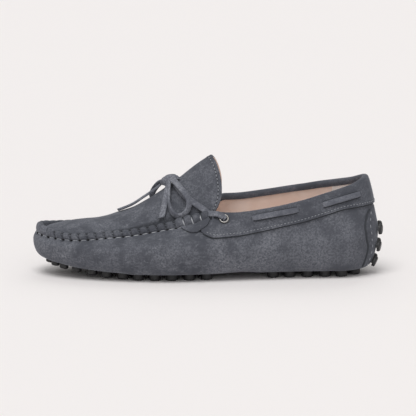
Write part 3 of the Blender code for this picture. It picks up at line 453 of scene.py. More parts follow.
    def apron_normal(self, turn: float, across: float) -> Vector:
        """Upward unit normal of apron and tongue."""
        step = 2e-3
        if turn < step:
            return Vector((0, 0, 1))
        across = min(max(across, step - 1), 1 - step)
        run = self.apron_point(turn + step, across) - self.apron_point(turn - step, across)
        span = self.apron_point(turn, across + step) - self.apron_point(turn, across - step)
        return run.cross(span).normalized()

    def apron_turn(self, at: float) -> float:
        """Turn at a share from the apron's toe edge to the throat."""
        start = self.toe_x + self.seam_toe + 2 * self.wall + self.gap
        goal = start + (self.throat_x - start) * at

        def ahead(turn: float) -> bool:
            """True where the apron's edge lies ahead of the goal."""
            seam, outward, _ = self.seam_frame(turn, Side.MEDIAL)
            return (seam - outward * (2 * self.wall + self.gap)).x < goal

        return halfway(ahead, 0.0, 0.8)


FORM = Last()


class SeamPath:
    """The seam line as a path whose places are lengths from the toe."""

    def __init__(self, last: Last, side: Side, samples: int = 400) -> None:
        """Measure the line from the toe to the throat."""
        self.last, self.side = last, side
        end = last.seam_turn(last.throat_x)
        self.turns = [end * step / samples for step in range(samples + 1)]
        points = [last.seam_frame(turn, side)[0] for turn in self.turns]
        self.lengths = [0.0]
        for near, far in zip(points, points[1:]):
            self.lengths.append(self.lengths[-1] + (far - near).length)

    @property
    def total(self) -> float:
        """Length from the toe to the throat."""
        return self.lengths[-1]

    def turn(self, length: float) -> float:
        """Turn at a length from the toe."""
        length = min(max(length, 0.0), self.total)
        low, high = 0, len(self.lengths) - 1
        while high - low > 1:
            middle = (low + high) // 2
            if self.lengths[middle] <= length:
                low = middle
            else:
                high = middle
        part = (length - self.lengths[low]) / (self.lengths[high] - self.lengths[low])
        return self.turns[low] + (self.turns[high] - self.turns[low]) * part

    def length(self, turn: float) -> float:
        """Length from the toe at a turn."""
        share = min(max(turn / self.turns[-1], 0.0), 1.0) * (len(self.turns) - 1)
        low = min(int(share), len(self.turns) - 2)
        return (self.lengths[low]
                + (self.lengths[low + 1] - self.lengths[low]) * (share - low))


PATHS = {side: SeamPath(FORM, side) for side in Side}
STITCHES = 22                       # stitches from the toe to the throat, each side
PITCH = PATHS[Side.LATERAL].total / STITCHES
WHIPPED = 4                         # humps of the thick seam end


def linear(code: str) -> tuple[float, float, float, float]:
    """Linear colour of an sRGB hex value."""
    parts = [int(code[index:index + 2], 16) / 255 for index in (1, 3, 5)]
    channels = [part / 12.92 if part <= 0.04045 else ((part + 0.055) / 1.055) ** 2.4
                for part in parts]
    return (*channels, 1.0)


def add_node(tree: bpy.types.NodeTree, kind: str, links: Optional[dict] = None,
             **settings: object) -> bpy.types.Node:
    """Add a node to a tree.

    Args:
        tree: the tree.
        kind: the node's type.
        links: its inputs, each a value or an output socket.
        settings: its own properties.

    Returns:
        The node.
    """
    added = tree.nodes.new(kind)
    for key, value in settings.items():
        setattr(added, key, value)
    for key, value in (links or {}).items():
        if isinstance(value, bpy.types.NodeSocket):
            tree.links.new(value, added.inputs[key])
        else:
            added.inputs[key].default_value = value
    return added


class Finish:
    """A node material under construction."""

    def __init__(self, name: str, colour: str, roughness: float, metallic: float = 0.0) -> None:
        """Start from a Principled shader of one colour."""
        self.material = bpy.data.materials.new(name)
        self.material.use_nodes = True
        self.tree = self.material.node_tree
        self.node = partial(add_node, self.tree)
        self.shader = self.tree.nodes["Principled BSDF"]
        self.shader.inputs["Base Color"].default_value = linear(colour)
        self.shader.inputs["Roughness"].default_value = roughness
        self.shader.inputs["Metallic"].default_value = metallic
        self.material.diffuse_color = linear(colour)
        self.place = self.node("ShaderNodeTexCoord").outputs["Object"]

    def noise(self, size_mm: float, detail: float = 3.0, distortion: float = 0.0,
              stretch: Optional[tuple[float, float, float]] = None) -> bpy.types.NodeSocket:
        """Noise whose patches are about a size in millimetres."""
        place = self.place
        if stretch:
            place = self.node("ShaderNodeMapping", {"Vector": place, "Scale": stretch}).outputs[0]
        return self.node("ShaderNodeTexNoise",
                         {"Vector": place, "Scale": 1000 / size_mm / 2, "Detail": detail,
                          "Roughness": 0.55, "Distortion": distortion}).outputs["Fac"]

    def blend(self, factor: object, low: object, high: object) -> bpy.types.NodeSocket:
        """Mix of two colours, each a hex value or a socket."""
        low, high = (linear(tone) if isinstance(tone, str) else tone for tone in (low, high))
        return self.node("ShaderNodeMix", {0: factor, 6: low, 7: high},
                         data_type="RGBA", clamp_factor=True).outputs[2]

    def spread(self, value: bpy.types.NodeSocket, low: float, high: float,
               to_low: float = 0.0, to_high: float = 1.0) -> bpy.types.NodeSocket:
        """Map a range of a value onto another, smoothly."""
        return self.node("ShaderNodeMapRange",
                         {"Value": value, "From Min": low, "From Max": high,
                          "To Min": to_low, "To Max": to_high},
                         interpolation_type="SMOOTHSTEP").outputs[0]

    def bump(self, height: bpy.types.NodeSocket, depth_mm: float, strength: float,
             under: Optional[bpy.types.NodeSocket] = None) -> bpy.types.NodeSocket:
        """Bump of a real depth in millimetres."""
        links = {"Height": height, "Distance": depth_mm * MM, "Strength": strength}
        if under:
            links["Normal"] = under
        return self.node("ShaderNodeBump", links).outputs["Normal"]

    def wire(self, value: bpy.types.NodeSocket, name: str) -> None:
        """Link a socket to the shader."""
        self.tree.links.new(value, self.shader.inputs[name])


@dataclass(frozen=True)
class Suede:
    """Split cowhide with a brushed nap: dull, mottled where the nap lies over."""
    name: str
    base: str
    dark: str
    light: str
    patch_mm: float = 9.0       # where fingers have turned the nap
    fibre_mm: float = 0.45      # real fibres are finer; drawn so that they show
    creased: bool = False       # painted shade: darker where the mesh says that it lies in a crease

    def build(self) -> bpy.types.Material:
        """Material with nap patches, fibres and a soft sheen."""
        finish = Finish(self.name, self.base, 0.92)
        patches = finish.noise(self.patch_mm, 4.0, 0.6)
        clouds = finish.noise(self.patch_mm * 3.2, 2.0, 0.3)
        strokes = finish.noise(1.6, 3.0, 0.8, (0.45, 1.0, 1.0))
        fibres = finish.noise(self.fibre_mm, 2.0)
        grain = finish.noise(0.8, 3.0, 0.3)
        colour = finish.blend(finish.spread(patches, 0.36, 0.62), self.dark, self.base)
        colour = finish.blend(finish.spread(clouds, 0.48, 0.68, 0.0, 0.60), colour, self.light)
        colour = finish.blend(finish.spread(strokes, 0.52, 0.70, 0.0, 0.34), colour, self.light)
        colour = finish.blend(finish.spread(grain, 0.34, 0.62, 0.75, 0.0), colour, self.dark)
        colour = finish.blend(finish.spread(fibres, 0.30, 0.66, 0.55, 0.0), colour, self.dark)
        away = finish.node("ShaderNodeSeparateXYZ", {"Vector": finish.place}).outputs["X"]
        colour = finish.blend(finish.spread(away, -0.02, 0.10, 0.0, 0.34), colour, self.dark)
        if self.creased:
            # Painted shade: near-black blended in by the mesh's crease attribute, where creases
            # and the ridge's valleys lie
            depth = finish.node("ShaderNodeAttribute", attribute_name="crease").outputs["Fac"]
            colour = finish.blend(finish.spread(depth, 0.15, 1.0, 0.0, 0.85), colour, "#26282C")
        finish.wire(colour, "Base Color")
        finish.wire(finish.spread(patches, 0.3, 0.7, 0.84, 0.98), "Roughness")
        normal = finish.bump(finish.noise(3.6, 3.0, 0.4), 0.55, 0.40)
        normal = finish.bump(grain, 0.30, 0.45, normal)
        finish.wire(finish.bump(fibres, 0.14, 0.60, normal), "Normal")
        finish.shader.inputs["Sheen Weight"].default_value = 0.28
        finish.shader.inputs["Sheen Roughness"].default_value = 0.45
        finish.shader.inputs["Sheen Tint"].default_value = linear("#C9CED8")
        finish.shader.inputs["Specular IOR Level"].default_value = 0.18
        return finish.material


@dataclass(frozen=True)
class LiningLeather:
    """Smooth glazed sheepskin lining, paler where the heel pocket is pieced in."""
    name: str = "lining_sheepskin"
    colour: str = "#F4E2D8"
    deep: str = "#E8CFC1"
    pale: str = "#FCFAF9"
    heel_x: float = 0.1000

    def build(self) -> bpy.types.Material:
        """Material with a fine grain and the pale heel pocket."""
        finish = Finish(self.name, self.colour, 0.52)
        tone = finish.blend(finish.spread(finish.noise(14.0, 3.0), 0.35, 0.7),
                            self.deep, self.colour)
        place = finish.node("ShaderNodeSeparateXYZ", {"Vector": finish.place}).outputs["X"]
        pocket = finish.spread(place, self.heel_x - 0.0004, self.heel_x + 0.0004)
        finish.wire(finish.blend(pocket, tone, self.pale), "Base Color")
        grain = finish.node("ShaderNodeTexVoronoi",
                            {"Vector": finish.place, "Scale": 1000 / 1.1}).outputs["Distance"]
        normal = finish.bump(grain, 0.05, 0.35)
        finish.wire(finish.bump(finish.noise(6.0, 3.0), 0.25, 0.25, normal), "Normal")
        finish.shader.inputs["Coat Weight"].default_value = 0.08
        finish.shader.inputs["Coat Roughness"].default_value = 0.45
        return finish.material


@dataclass(frozen=True)
class MouldedRubber:
    """Black moulded rubber, satin, a little dusty on its faces."""
    name: str = "moulded_rubber"
    colour: str = "#202022"
    dust: str = "#3E3E42"

    def build(self) -> bpy.types.Material:
        """Material with a fine mould texture."""
        finish = Finish(self.name, self.colour, 0.5)
        cloud = finish.noise(5.0, 4.0)
        finish.wire(finish.blend(finish.spread(cloud, 0.5, 0.8, 0.0, 0.5),
                                 self.colour, self.dust), "Base Color")
        finish.wire(finish.spread(cloud, 0.3, 0.7, 0.42, 0.62), "Roughness")
        finish.wire(finish.bump(finish.noise(0.5, 2.0), 0.04, 0.4), "Normal")
        return finish.material


@dataclass(frozen=True)
class WaxedThread:
    """Waxed polyester thread of three plies, with their twist as a fine bump."""
    name: str
    colour: str
    ply_mm: float = 0.6

    def build(self) -> bpy.types.Material:
        """Material with a slanting twist."""
        finish = Finish(self.name, self.colour, 0.6)
        turned = finish.node("ShaderNodeMapping",
                             {"Vector": finish.place, "Rotation": (0.0, 0.6, 0.5)}).outputs[0]
        wave = finish.node("ShaderNodeTexWave",
                           {"Vector": turned, "Scale": 1000 / self.ply_mm / 20,
                            "Distortion": 0.5}).outputs["Fac"]
        finish.wire(finish.bump(wave, 0.08, 0.6), "Normal")
        finish.shader.inputs["Sheen Weight"].default_value = 0.1
        return finish.material


@dataclass(frozen=True)
class DarkNickel:
    """Brass turned and plated in dark nickel, polished, with a worn lip."""
    name: str = "dark_nickel"
    colour: str = "#7A7876"
    worn: str = "#A5A29D"

    def build(self) -> bpy.types.Material:
        """Metal with light wear."""
        finish = Finish(self.name, self.colour, 0.28, 1.0)
        cloud = finish.noise(2.0, 3.0)
        finish.wire(finish.blend(finish.spread(cloud, 0.45, 0.75), self.colour, self.worn),
                    "Base Color")
        finish.wire(finish.spread(cloud, 0.3, 0.7, 0.2, 0.38), "Roughness")
        return finish.material


class Palette:
    """Every finish of the shoe."""

    def __init__(self) -> None:
        """Build the materials."""
        self.suede = Suede("brushed_suede", "#686A71", "#474950", "#8B8D94").build()
        # Gathered suede carries painted shade in its creases and along the ridge
        self.gathered = Suede("gathered_suede_crease_shade", "#6B6D74", "#494B52", "#8E9097",
                              creased=True).build()
        self.thong = Suede("suede_thong", "#777981", "#565860", "#9C9EA5", 4.0).build()
        self.lining = LiningLeather().build()
        self.rubber = MouldedRubber().build()
        self.thread = WaxedThread("waxed_thread", "#A5A7AC").build()
        self.fine_thread = WaxedThread("fine_thread", "#8B8E94", 0.4).build()
        self.tan_thread = WaxedThread("tan_thread", "#F4EEE9", 0.4).build()
        self.nickel = DarkNickel().build()
        # Painted shade: near-black beads for the awl holes and a disc in each eyelet bore
        self.shadow = Finish("awl_hole_shade", "#0B0B0D", 0.9).material
        # Painted shade: dark grey strips under the band's edge, beside the heel tab and under the
        # lace bars
        self.edge = Finish("edge_shade", "#33363B", 0.9).material


def placed(name: str, data: bpy.types.ID) -> bpy.types.Object:
    """Object of some data, linked to the scene."""
    item = bpy.data.objects.new(name, data)
    bpy.context.scene.collection.objects.link(item)
    return item


def evaluated(item: bpy.types.Object) -> bpy.types.Mesh:
    """Mesh of an object with its modifiers applied; the object is used up."""
    graph = bpy.context.evaluated_depsgraph_get()
    mesh = bpy.data.meshes.new_from_object(item.evaluated_get(graph))
    item.modifiers.clear()
    bpy.data.objects.remove(item)
    return mesh


def add_piece(name: str, mesh: bpy.types.Mesh, materials: Sequence[bpy.types.Material],
              nodes: Sequence[str] = ()) -> bpy.types.Object:
    """Put a finished mesh in the scene as a piece of the shoe.

    Args:
        name: the piece's name.
        mesh: its mesh, in the last's frame.
        materials: its materials, in slot order.
        nodes: the solids that it stands for.

    Returns:
        The object.
    """
    mesh.transform(Matrix.Translation(CENTRE))
    for index, material in enumerate(materials):
        if index < len(mesh.materials):
            mesh.materials[index] = material
        else:
            mesh.materials.append(material)
    mesh.shade_smooth()
    mesh.set_sharp_from_angle(angle=math.radians(SHARP_DEGREES))
    item = placed(name, mesh)
    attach(item, "root")
    if nodes:
        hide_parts(*nodes)
    LOG.info("%s: %d faces", name, len(mesh.polygons))
    return item


def mesh_of(solid: bmesh.types.BMesh, name: str, outward: bool = False) -> bpy.types.Mesh:
    """Mesh of a finished bmesh, its faces turned outwards where asked."""
    if outward:
        bmesh.ops.recalc_face_normals(solid, faces=solid.faces)
    mesh = bpy.data.meshes.new(name)
    solid.to_mesh(mesh)
    solid.free()
    return mesh


def sheet_mesh(name: str, rows: Sequence[Sequence[Vector]], flip: bool = False,
               close: bool = False,
               creases: Optional[Sequence[Sequence[float]]] = None) -> bpy.types.Mesh:
    """Sheet of quads through rows of points.

    Args:
        name: the mesh's name.
        rows: rows of equally many points.
        flip: turns its faces over.
        close: joins the last point of each row to its first.
        creases: how deep in a crease each point lies, for the painted shade in its colour.

    Returns:
        The mesh, with coinciding points merged.
    """
    sheet = bmesh.new()
    layer = sheet.verts.layers.float.new("crease") if creases else None
    verts = [[sheet.verts.new(point) for point in row] for row in rows]
    if creases:
        for row, shade_depths in zip(verts, creases):
            for vert, depth in zip(row, shade_depths):
                vert[layer] = depth
    count = len(rows[0])
    for near, far in zip(verts, verts[1:]):
        for index in range(count if close else count - 1):
            after = (index + 1) % count
            sheet.faces.new((near[index], far[index], far[after], near[after]))
    bmesh.ops.remove_doubles(sheet, verts=sheet.verts, dist=2e-6)
    if flip:
        bmesh.ops.reverse_faces(sheet, faces=sheet.faces)
    return mesh_of(sheet, name)


def thicken(mesh: bpy.types.Mesh, thickness: float, offset: float, inner: int = 0,
            round_edge: float = 0.0) -> bpy.types.Mesh:
    """Give a sheet its wall.

    Args:
        mesh: the sheet.
        thickness: the wall's thickness.
        offset: -1 adds it behind the faces, 1 in front.
        inner: material index step of the inner faces.
        round_edge: width of a bevel along the cut edge.

    Returns:
        The walled mesh.
    """
    item = placed("wall", mesh)
    if inner:
        mesh.materials.append(bpy.data.materials.new("face"))
        mesh.materials.append(bpy.data.materials.new("inner"))
    wall = item.modifiers.new("Wall", "SOLIDIFY")
    wall.thickness, wall.offset = thickness, offset
    wall.use_quality_normals = True
    wall.material_offset = inner
    if round_edge:
        bevel = item.modifiers.new("Edge", "BEVEL")
        bevel.width, bevel.segments = round_edge, 2
        bevel.limit_method, bevel.angle_limit = "ANGLE", math.radians(60)
        bevel.use_clamp_overlap = True
    return evaluated(item)


def closed(mesh: bpy.types.Mesh, open_ends: bool = False) -> bpy.types.Mesh:
    """Weld a mesh, or fill its open ends, and turn its faces outwards."""
    solid = bmesh.new()
    solid.from_mesh(mesh)
    if open_ends:
        bmesh.ops.holes_fill(solid, edges=[edge for edge in solid.edges if edge.is_boundary])
    else:
        bmesh.ops.remove_doubles(solid, verts=solid.verts, dist=1e-6)
    bmesh.ops.recalc_face_normals(solid, faces=solid.faces)
    solid.to_mesh(mesh)
    solid.free()
    return mesh


def sweep_mesh(name: str, points: Sequence[Vector], faces: Sequence[Vector], width: float,
               thickness: float, slant: float = 0.0, taper: int = 0) -> bpy.types.Mesh:
    """Flat thong along a path.

    Args:
        name: the mesh's name.
        points: the path.
        faces: the direction that the flat face looks in, at each point.
        width: the thong's width.
        thickness: its thickness.
        slant: how far its last end is cut askew.
        taper: rings over which a tucked end narrows.

    Returns:
        A closed mesh.
    """
    sides = 16
    corners = []
    for step in range(sides):
        angle = 2 * math.pi * step / sides
        c, s = math.cos(angle), math.sin(angle)
        corners.append((math.copysign(abs(c) ** 0.30, c), math.copysign(abs(s) ** 0.42, s)))
    rows = []
    last = len(points) - 1
    for index, point in enumerate(points):
        along = (points[min(index + 1, last)] - points[max(index - 1, 0)]).normalized()
        across = along.cross(faces[index]).normalized()
        out = across.cross(along).normalized()
        narrow = 1.0
        if taper:
            part = min(min(index, last - index) / taper, 1.0)
            narrow = 0.42 + 0.58 * math.sqrt(1 - (1 - part) ** 2)
        askew = slant * ramp(last - 4, last, index)
        rows.append([point + across * (u * width / 2 * narrow) + out * (v * thickness / 2)
                     + along * (u * askew / 2) for u, v in corners])
    strip = bmesh.new()
    loops = [[strip.verts.new(spot) for spot in row] for row in rows]
    for near, far in zip(loops, loops[1:]):
        for step in range(sides):
            after = (step + 1) % sides
            strip.faces.new((near[step], near[after], far[after], far[step]))
    for loop in (loops[0], loops[-1]):
        middle = strip.verts.new(sum((vert.co for vert in loop), Vector()) / sides)
        for step in range(sides):
            strip.faces.new((loop[step], loop[(step + 1) % sides], middle))
    return mesh_of(strip, name, outward=True)


def merged(name: str, meshes: Sequence[bpy.types.Mesh]) -> bpy.types.Mesh:
    """One mesh out of several, which are used up."""
    whole = bmesh.new()
    for mesh in meshes:
        whole.from_mesh(mesh)
        bpy.data.meshes.remove(mesh)
    return mesh_of(whole, name)


def line_length(points: Sequence[Vector]) -> float:
    """Length of a line through points."""
    return sum((far - near).length for near, far in zip(points, points[1:]))


def smooth_path(points: Sequence[Vector], spacing: float) -> list[Vector]:
    """Evenly spaced points of a smooth curve through some points.

    Args:
        points: the points.
        spacing: the distance between the new ones.

    Returns:
        The new points, ends included.
    """
    ends = [points[0] * 2 - points[1], *points, points[-1] * 2 - points[-2]]
    fine = []
    for index in range(1, len(ends) - 2):
        before, here, there, after = ends[index - 1:index + 3]
        for step in range(16):
            part = step / 16
            fine.append(0.5 * (2 * here + (there - before) * part
                               + (2 * before - 5 * here + 4 * there - after) * part ** 2
                               + (3 * here - before - 3 * there + after) * part ** 3))
    fine.append(points[-1])
    total = line_length(fine)
    count = max(2, round(total / spacing))
    route, walked = [fine[0].copy()], 0.0
    goal = total / count
    for near, far in zip(fine, fine[1:]):
        length = (far - near).length
        while length > 0 and walked + length >= goal - 1e-12 and len(route) < count:
            route.append(near.lerp(far, (goal - walked) / length))
            goal += total / count
        walked += length
    route.append(fine[-1].copy())
    return route


class StitchMaker:
    """Geometry Nodes tree that lays stitches or holes along a line."""

    def __init__(self) -> None:
        """Build the tree once."""
        tree = bpy.data.node_groups.new("stitch_row", "GeometryNodeTree")
        self.tree = tree
        self.ids = {}
        for name, kind, default in (("Line", "NodeSocketGeometry", None),
                                    ("Count", "NodeSocketInt", 8),
                                    ("Half Size", "NodeSocketVector", (1.0, 1.0, 1.0)),
                                    ("Thread", "NodeSocketMaterial", None)):
            socket = tree.interface.new_socket(name, in_out="INPUT", socket_type=kind)
            if default is not None:
                socket.default_value = default
            self.ids[name] = socket.identifier
        tree.interface.new_socket("Row", in_out="OUTPUT", socket_type="NodeSocketGeometry")

        node = partial(add_node, tree)
        given = node("NodeGroupInput").outputs
        curve = node("GeometryNodeMeshToCurve", {"Mesh": given["Line"]}).outputs["Curve"]
        even = node("GeometryNodeResampleCurve", {"Curve": curve, "Count": given["Count"]},
                    mode="COUNT").outputs["Curve"]
        spots = node("GeometryNodeCurveToPoints", {"Curve": even}, mode="EVALUATED").outputs
        turned = node("FunctionNodeAlignRotationToVector",
                      {"Vector": spots["Tangent"]}, axis="Z").outputs["Rotation"]
        bead = node("GeometryNodeMeshIcoSphere", {"Radius": 1.0, "Subdivisions": 2})
        sized = node("GeometryNodeTransform",
                     {"Geometry": bead.outputs["Mesh"], "Scale": given["Half Size"]})
        laid = node("GeometryNodeInstanceOnPoints",
                    {"Points": spots["Points"], "Instance": sized.outputs["Geometry"],
                     "Rotation": turned})
        real = node("GeometryNodeRealizeInstances", {"Geometry": laid.outputs["Instances"]})
        dressed = node("GeometryNodeSetMaterial",
                       {"Geometry": real.outputs["Geometry"], "Material": given["Thread"]})
        node("NodeGroupOutput", {"Row": dressed.outputs["Geometry"]})

    def row(self, line: Sequence[Vector], count: int, half: tuple[float, float, float],
            thread: bpy.types.Material) -> bpy.types.Mesh:
        """Mesh of beads along a line.

        Args:
            line: the line's points.
            count: how many beads, ends included.
            half: half sizes across and along the line.
            thread: their material.

        Returns:
            A plain mesh.
        """
        wire = bpy.data.meshes.new("stitch_line")
        wire.from_pydata(line, [(index, index + 1) for index in range(len(line) - 1)], [])
        item = placed("stitch_line", wire)
        maker = item.modifiers.new("Row", "NODES")
        maker.node_group = self.tree
        maker[self.ids["Count"]] = count
        maker[self.ids["Half Size"]] = half
        maker[self.ids["Thread"]] = thread
        return evaluated(item)


    def lay(self, name: str, rows: Sequence[tuple], thread: bpy.types.Material,
            slot: str = "suede", more: Sequence[bpy.types.Mesh] = ()) -> None:
        """Add a piece made of rows of beads.

        Args:
            name: the piece's name.
            rows: each row's line, count of beads and half sizes of a bead.
            thread: their material.
            slot: not used.
            more: other meshes of the piece.
        """
        meshes = [self.row(line, count, half, thread) for line, count, half in rows]
        add_piece(name, merged(name, [*meshes, *more]), [thread])


@dataclass
class Upper:
    """Vamp, quarters and wrapped bottom, one hide with its lining inside."""
    palette: Palette
    stations: int = 300
    side_steps: int = 30
    floor_steps: int = 12
    pleat_depth: float = 0.00085
    pleat_fade: float = 0.42          # in levels below the seam
    full_crease: float = 0.0012       # depth at which the painted crease shade is darkest
    collar_drop: float = 0.0012       # wall's cut edge under the band's roll
    binding: float = 0.0017           # band's thickness and gap over that edge
    ridge_drop: float = 0.0011        # wall's cut edge under the ridge's top
    ripple: float = 0.00022           # soft waves of the quarters
    pinch_depth: float = 0.0004
    pinches: tuple = ((-0.075, 0.012, 1.45, 0.35),      # X, its width, level, its width
                      (-0.035, 0.010, 1.35, 0.30))

    def top_level(self, turn: float) -> float:
        """Level of the cut edge."""
        x = FORM.seam_frame(turn, Side.LATERAL)[0].x
        height = FORM.ridge_height(turn)
        ridge = 3 - self.ridge_drop / height
        roll = 3 - (self.binding + self.collar_drop) / height
        part = ramp(FORM.throat_x - 0.001, FORM.throat_x + 0.003, x)
        return ridge + (roll - ridge) * part

    def relief(self, turn: float, side: Side, level: float) -> float:
        """Height of pleats and soft folds over the last."""
        path = PATHS[side]
        x = FORM.seam_frame(turn, side)[0].x
        high = 0.0
        if x < FORM.throat_x and level < 2.05:
            length = path.length(turn)
            phase = math.cos(2 * math.pi * length / PITCH)
            toe = 1 - ramp(0.030, 0.100, length)
            fade = math.exp(-((2.05 - level) / (self.pleat_fade * (0.35 + 0.65 * toe))) ** 2)
            high -= self.pleat_depth * (0.30 + 0.70 * toe) * phase * fade
        if level > 0.9 and x < 0.0:
            high -= sum(dip(middle, width, x) * dip(centre, spread, level) * self.pinch_depth
                        for middle, width, centre, spread in self.pinches)
        if x > 0.006:
            soft = math.sin(x * 190 + level * 2.2 + side.value) * self.ripple
            high += soft * dip(1.3, 0.45, level)
        return high

    def build(self) -> None:
        """Loft the hide and give it its wall."""
        rows, creases = [], []
        for step in range(self.stations + 1):
            turn = (0.55 * (0.5 - 0.5 * math.cos(math.pi * step / self.stations))
                    + 0.45 * step / self.stations)
            top = self.top_level(turn)
            levels = [top * (1 - share) ** 0.92 for share in shares(self.side_steps)]
            lateral, medial = ([FORM.over(turn, side, level, self.relief(turn, side, level))
                                for level in levels] for side in Side)
            floor = [lateral[-1].lerp(medial[-1], step / self.floor_steps)
                     for step in range(1, self.floor_steps)]
            for point in floor:
                point.z = FORM.bottom(point.x)
            rows.append(lateral + floor + medial[::-1])
            # Painted shade: each point's depth in a pleat, which darkens the suede there
            near, far = ([max(-self.relief(turn, side, level), 0.0) / self.full_crease
                          for level in levels] for side in Side)
            creases.append(near + [0.0] * len(floor) + far[::-1])
        for row in (rows[0], rows[-1]):
            for point in row:
                point.y = 0.0
        mesh = sheet_mesh("upper_hide", rows, flip=True, creases=creases)
        mesh = thicken(mesh, FORM.wall, -1, inner=1)
        add_piece("upper_hide", mesh, [self.palette.gathered, self.palette.lining],
                  nodes=["upper"])


@dataclass
class Apron:
    """Apron and tongue, one panel, lined underneath."""
    palette: Palette
    stitches: StitchMaker
    across: int = 64
    stations: int = 190
    stitch_inset: float = 0.0028
    stitch_pitch: float = 0.0030
    stitch_reach: float = 0.97        # of the half width at the rear edge
    gather: float = 0.00035           # gathers inside the ridge
    roll: float = 0.0005              # soft rolls over the instep
    hollow: float = 0.0007            # dent under the knot
    toe_fullness: float = 0.0017

    def relief(self, turn: float, across: float) -> float:
        """Gathers inside the ridge and soft rolls over the instep."""
        side = Side.LATERAL if across < 0 else Side.MEDIAL
        length = PATHS[side].length(turn)
        edge = math.exp(-((1 - abs(across)) / 0.16) ** 2)
        toe = 1 - ramp(0.030, 0.110, length)
        high = (-self.gather * (0.35 + 0.65 * toe) * math.cos(2 * math.pi * length / PITCH)
                * edge)
        x = FORM.apron_point(turn, 0).x
        high += (self.roll * math.sin(x * 95 + across * 1.4) * dip(-0.070, 0.035, x)
                 * (1 - across ** 2))
        high -= self.hollow * dip(-0.024, 0.010, x) * dip(0.0, 0.55, across)
        high += (self.toe_fullness * (1 - ramp(-0.1270, -0.0850, x)) * ramp(-0.1322, -0.1262, x)
                 * (1 - abs(across) ** 6))
        return high

    def build(self) -> None:
        """Loft the panel and its rear row of stitches."""
        end = FORM.apron_turn(1.0)
        rows, creases = [], []
        for step in range(self.stations + 1):
            turn = end * step / self.stations
            row, shade_depths = [], []
            rear = 1 - ramp(0.86 * end, 0.93 * end, turn)
            for place in range(self.across + 1):
                share = -1 + 2 * place / self.across
                share = math.copysign(abs(share) ** 0.9, share)
                point = FORM.apron_point(turn, share)
                row.append(point + FORM.apron_normal(turn, share) * self.relief(turn, share))
                # Painted shade: a dark band along both edges, inside the ridge, fading out at the
                # rear
                shade_depths.append(0.75 * ramp(0.80, 0.90, abs(share)) * rear)
            rows.append(row)
            creases.append(shade_depths)
        mesh = thicken(sheet_mesh("apron_panel", rows, creases=creases), FORM.wall, -1, inner=1,
                       round_edge=0.0005)
        add_piece("apron_panel", mesh, [self.palette.gathered, self.palette.lining],
                  nodes=["apron_tongue"])
        line = []
        for place in range(81):
            share = -self.stitch_reach + 2 * self.stitch_reach * place / 80
            point = FORM.apron_point(end, share)
            ahead = FORM.apron_point(end - 0.012, share) - point
            line.append(point + ahead.normalized() * self.stitch_inset
                        + FORM.apron_normal(end, share) * 0.00010)
        count = round(line_length(line) / self.stitch_pitch)
        self.stitches.lay("tongue_stitches", [(line, count, (0.00032, 0.00032, 0.0010))],
                          self.palette.fine_thread)
        # Near-black beads between the stitches: painted shade of the awl holes
        half = (line_length(line) / (count - 1)) / 2
        inner = smooth_path(line, half)[1:-1]
        self.stitches.lay("tongue_hole_shade", [(inner, count - 1, (0.00040, 0.00030, 0.00040))],
                          self.palette.shadow)


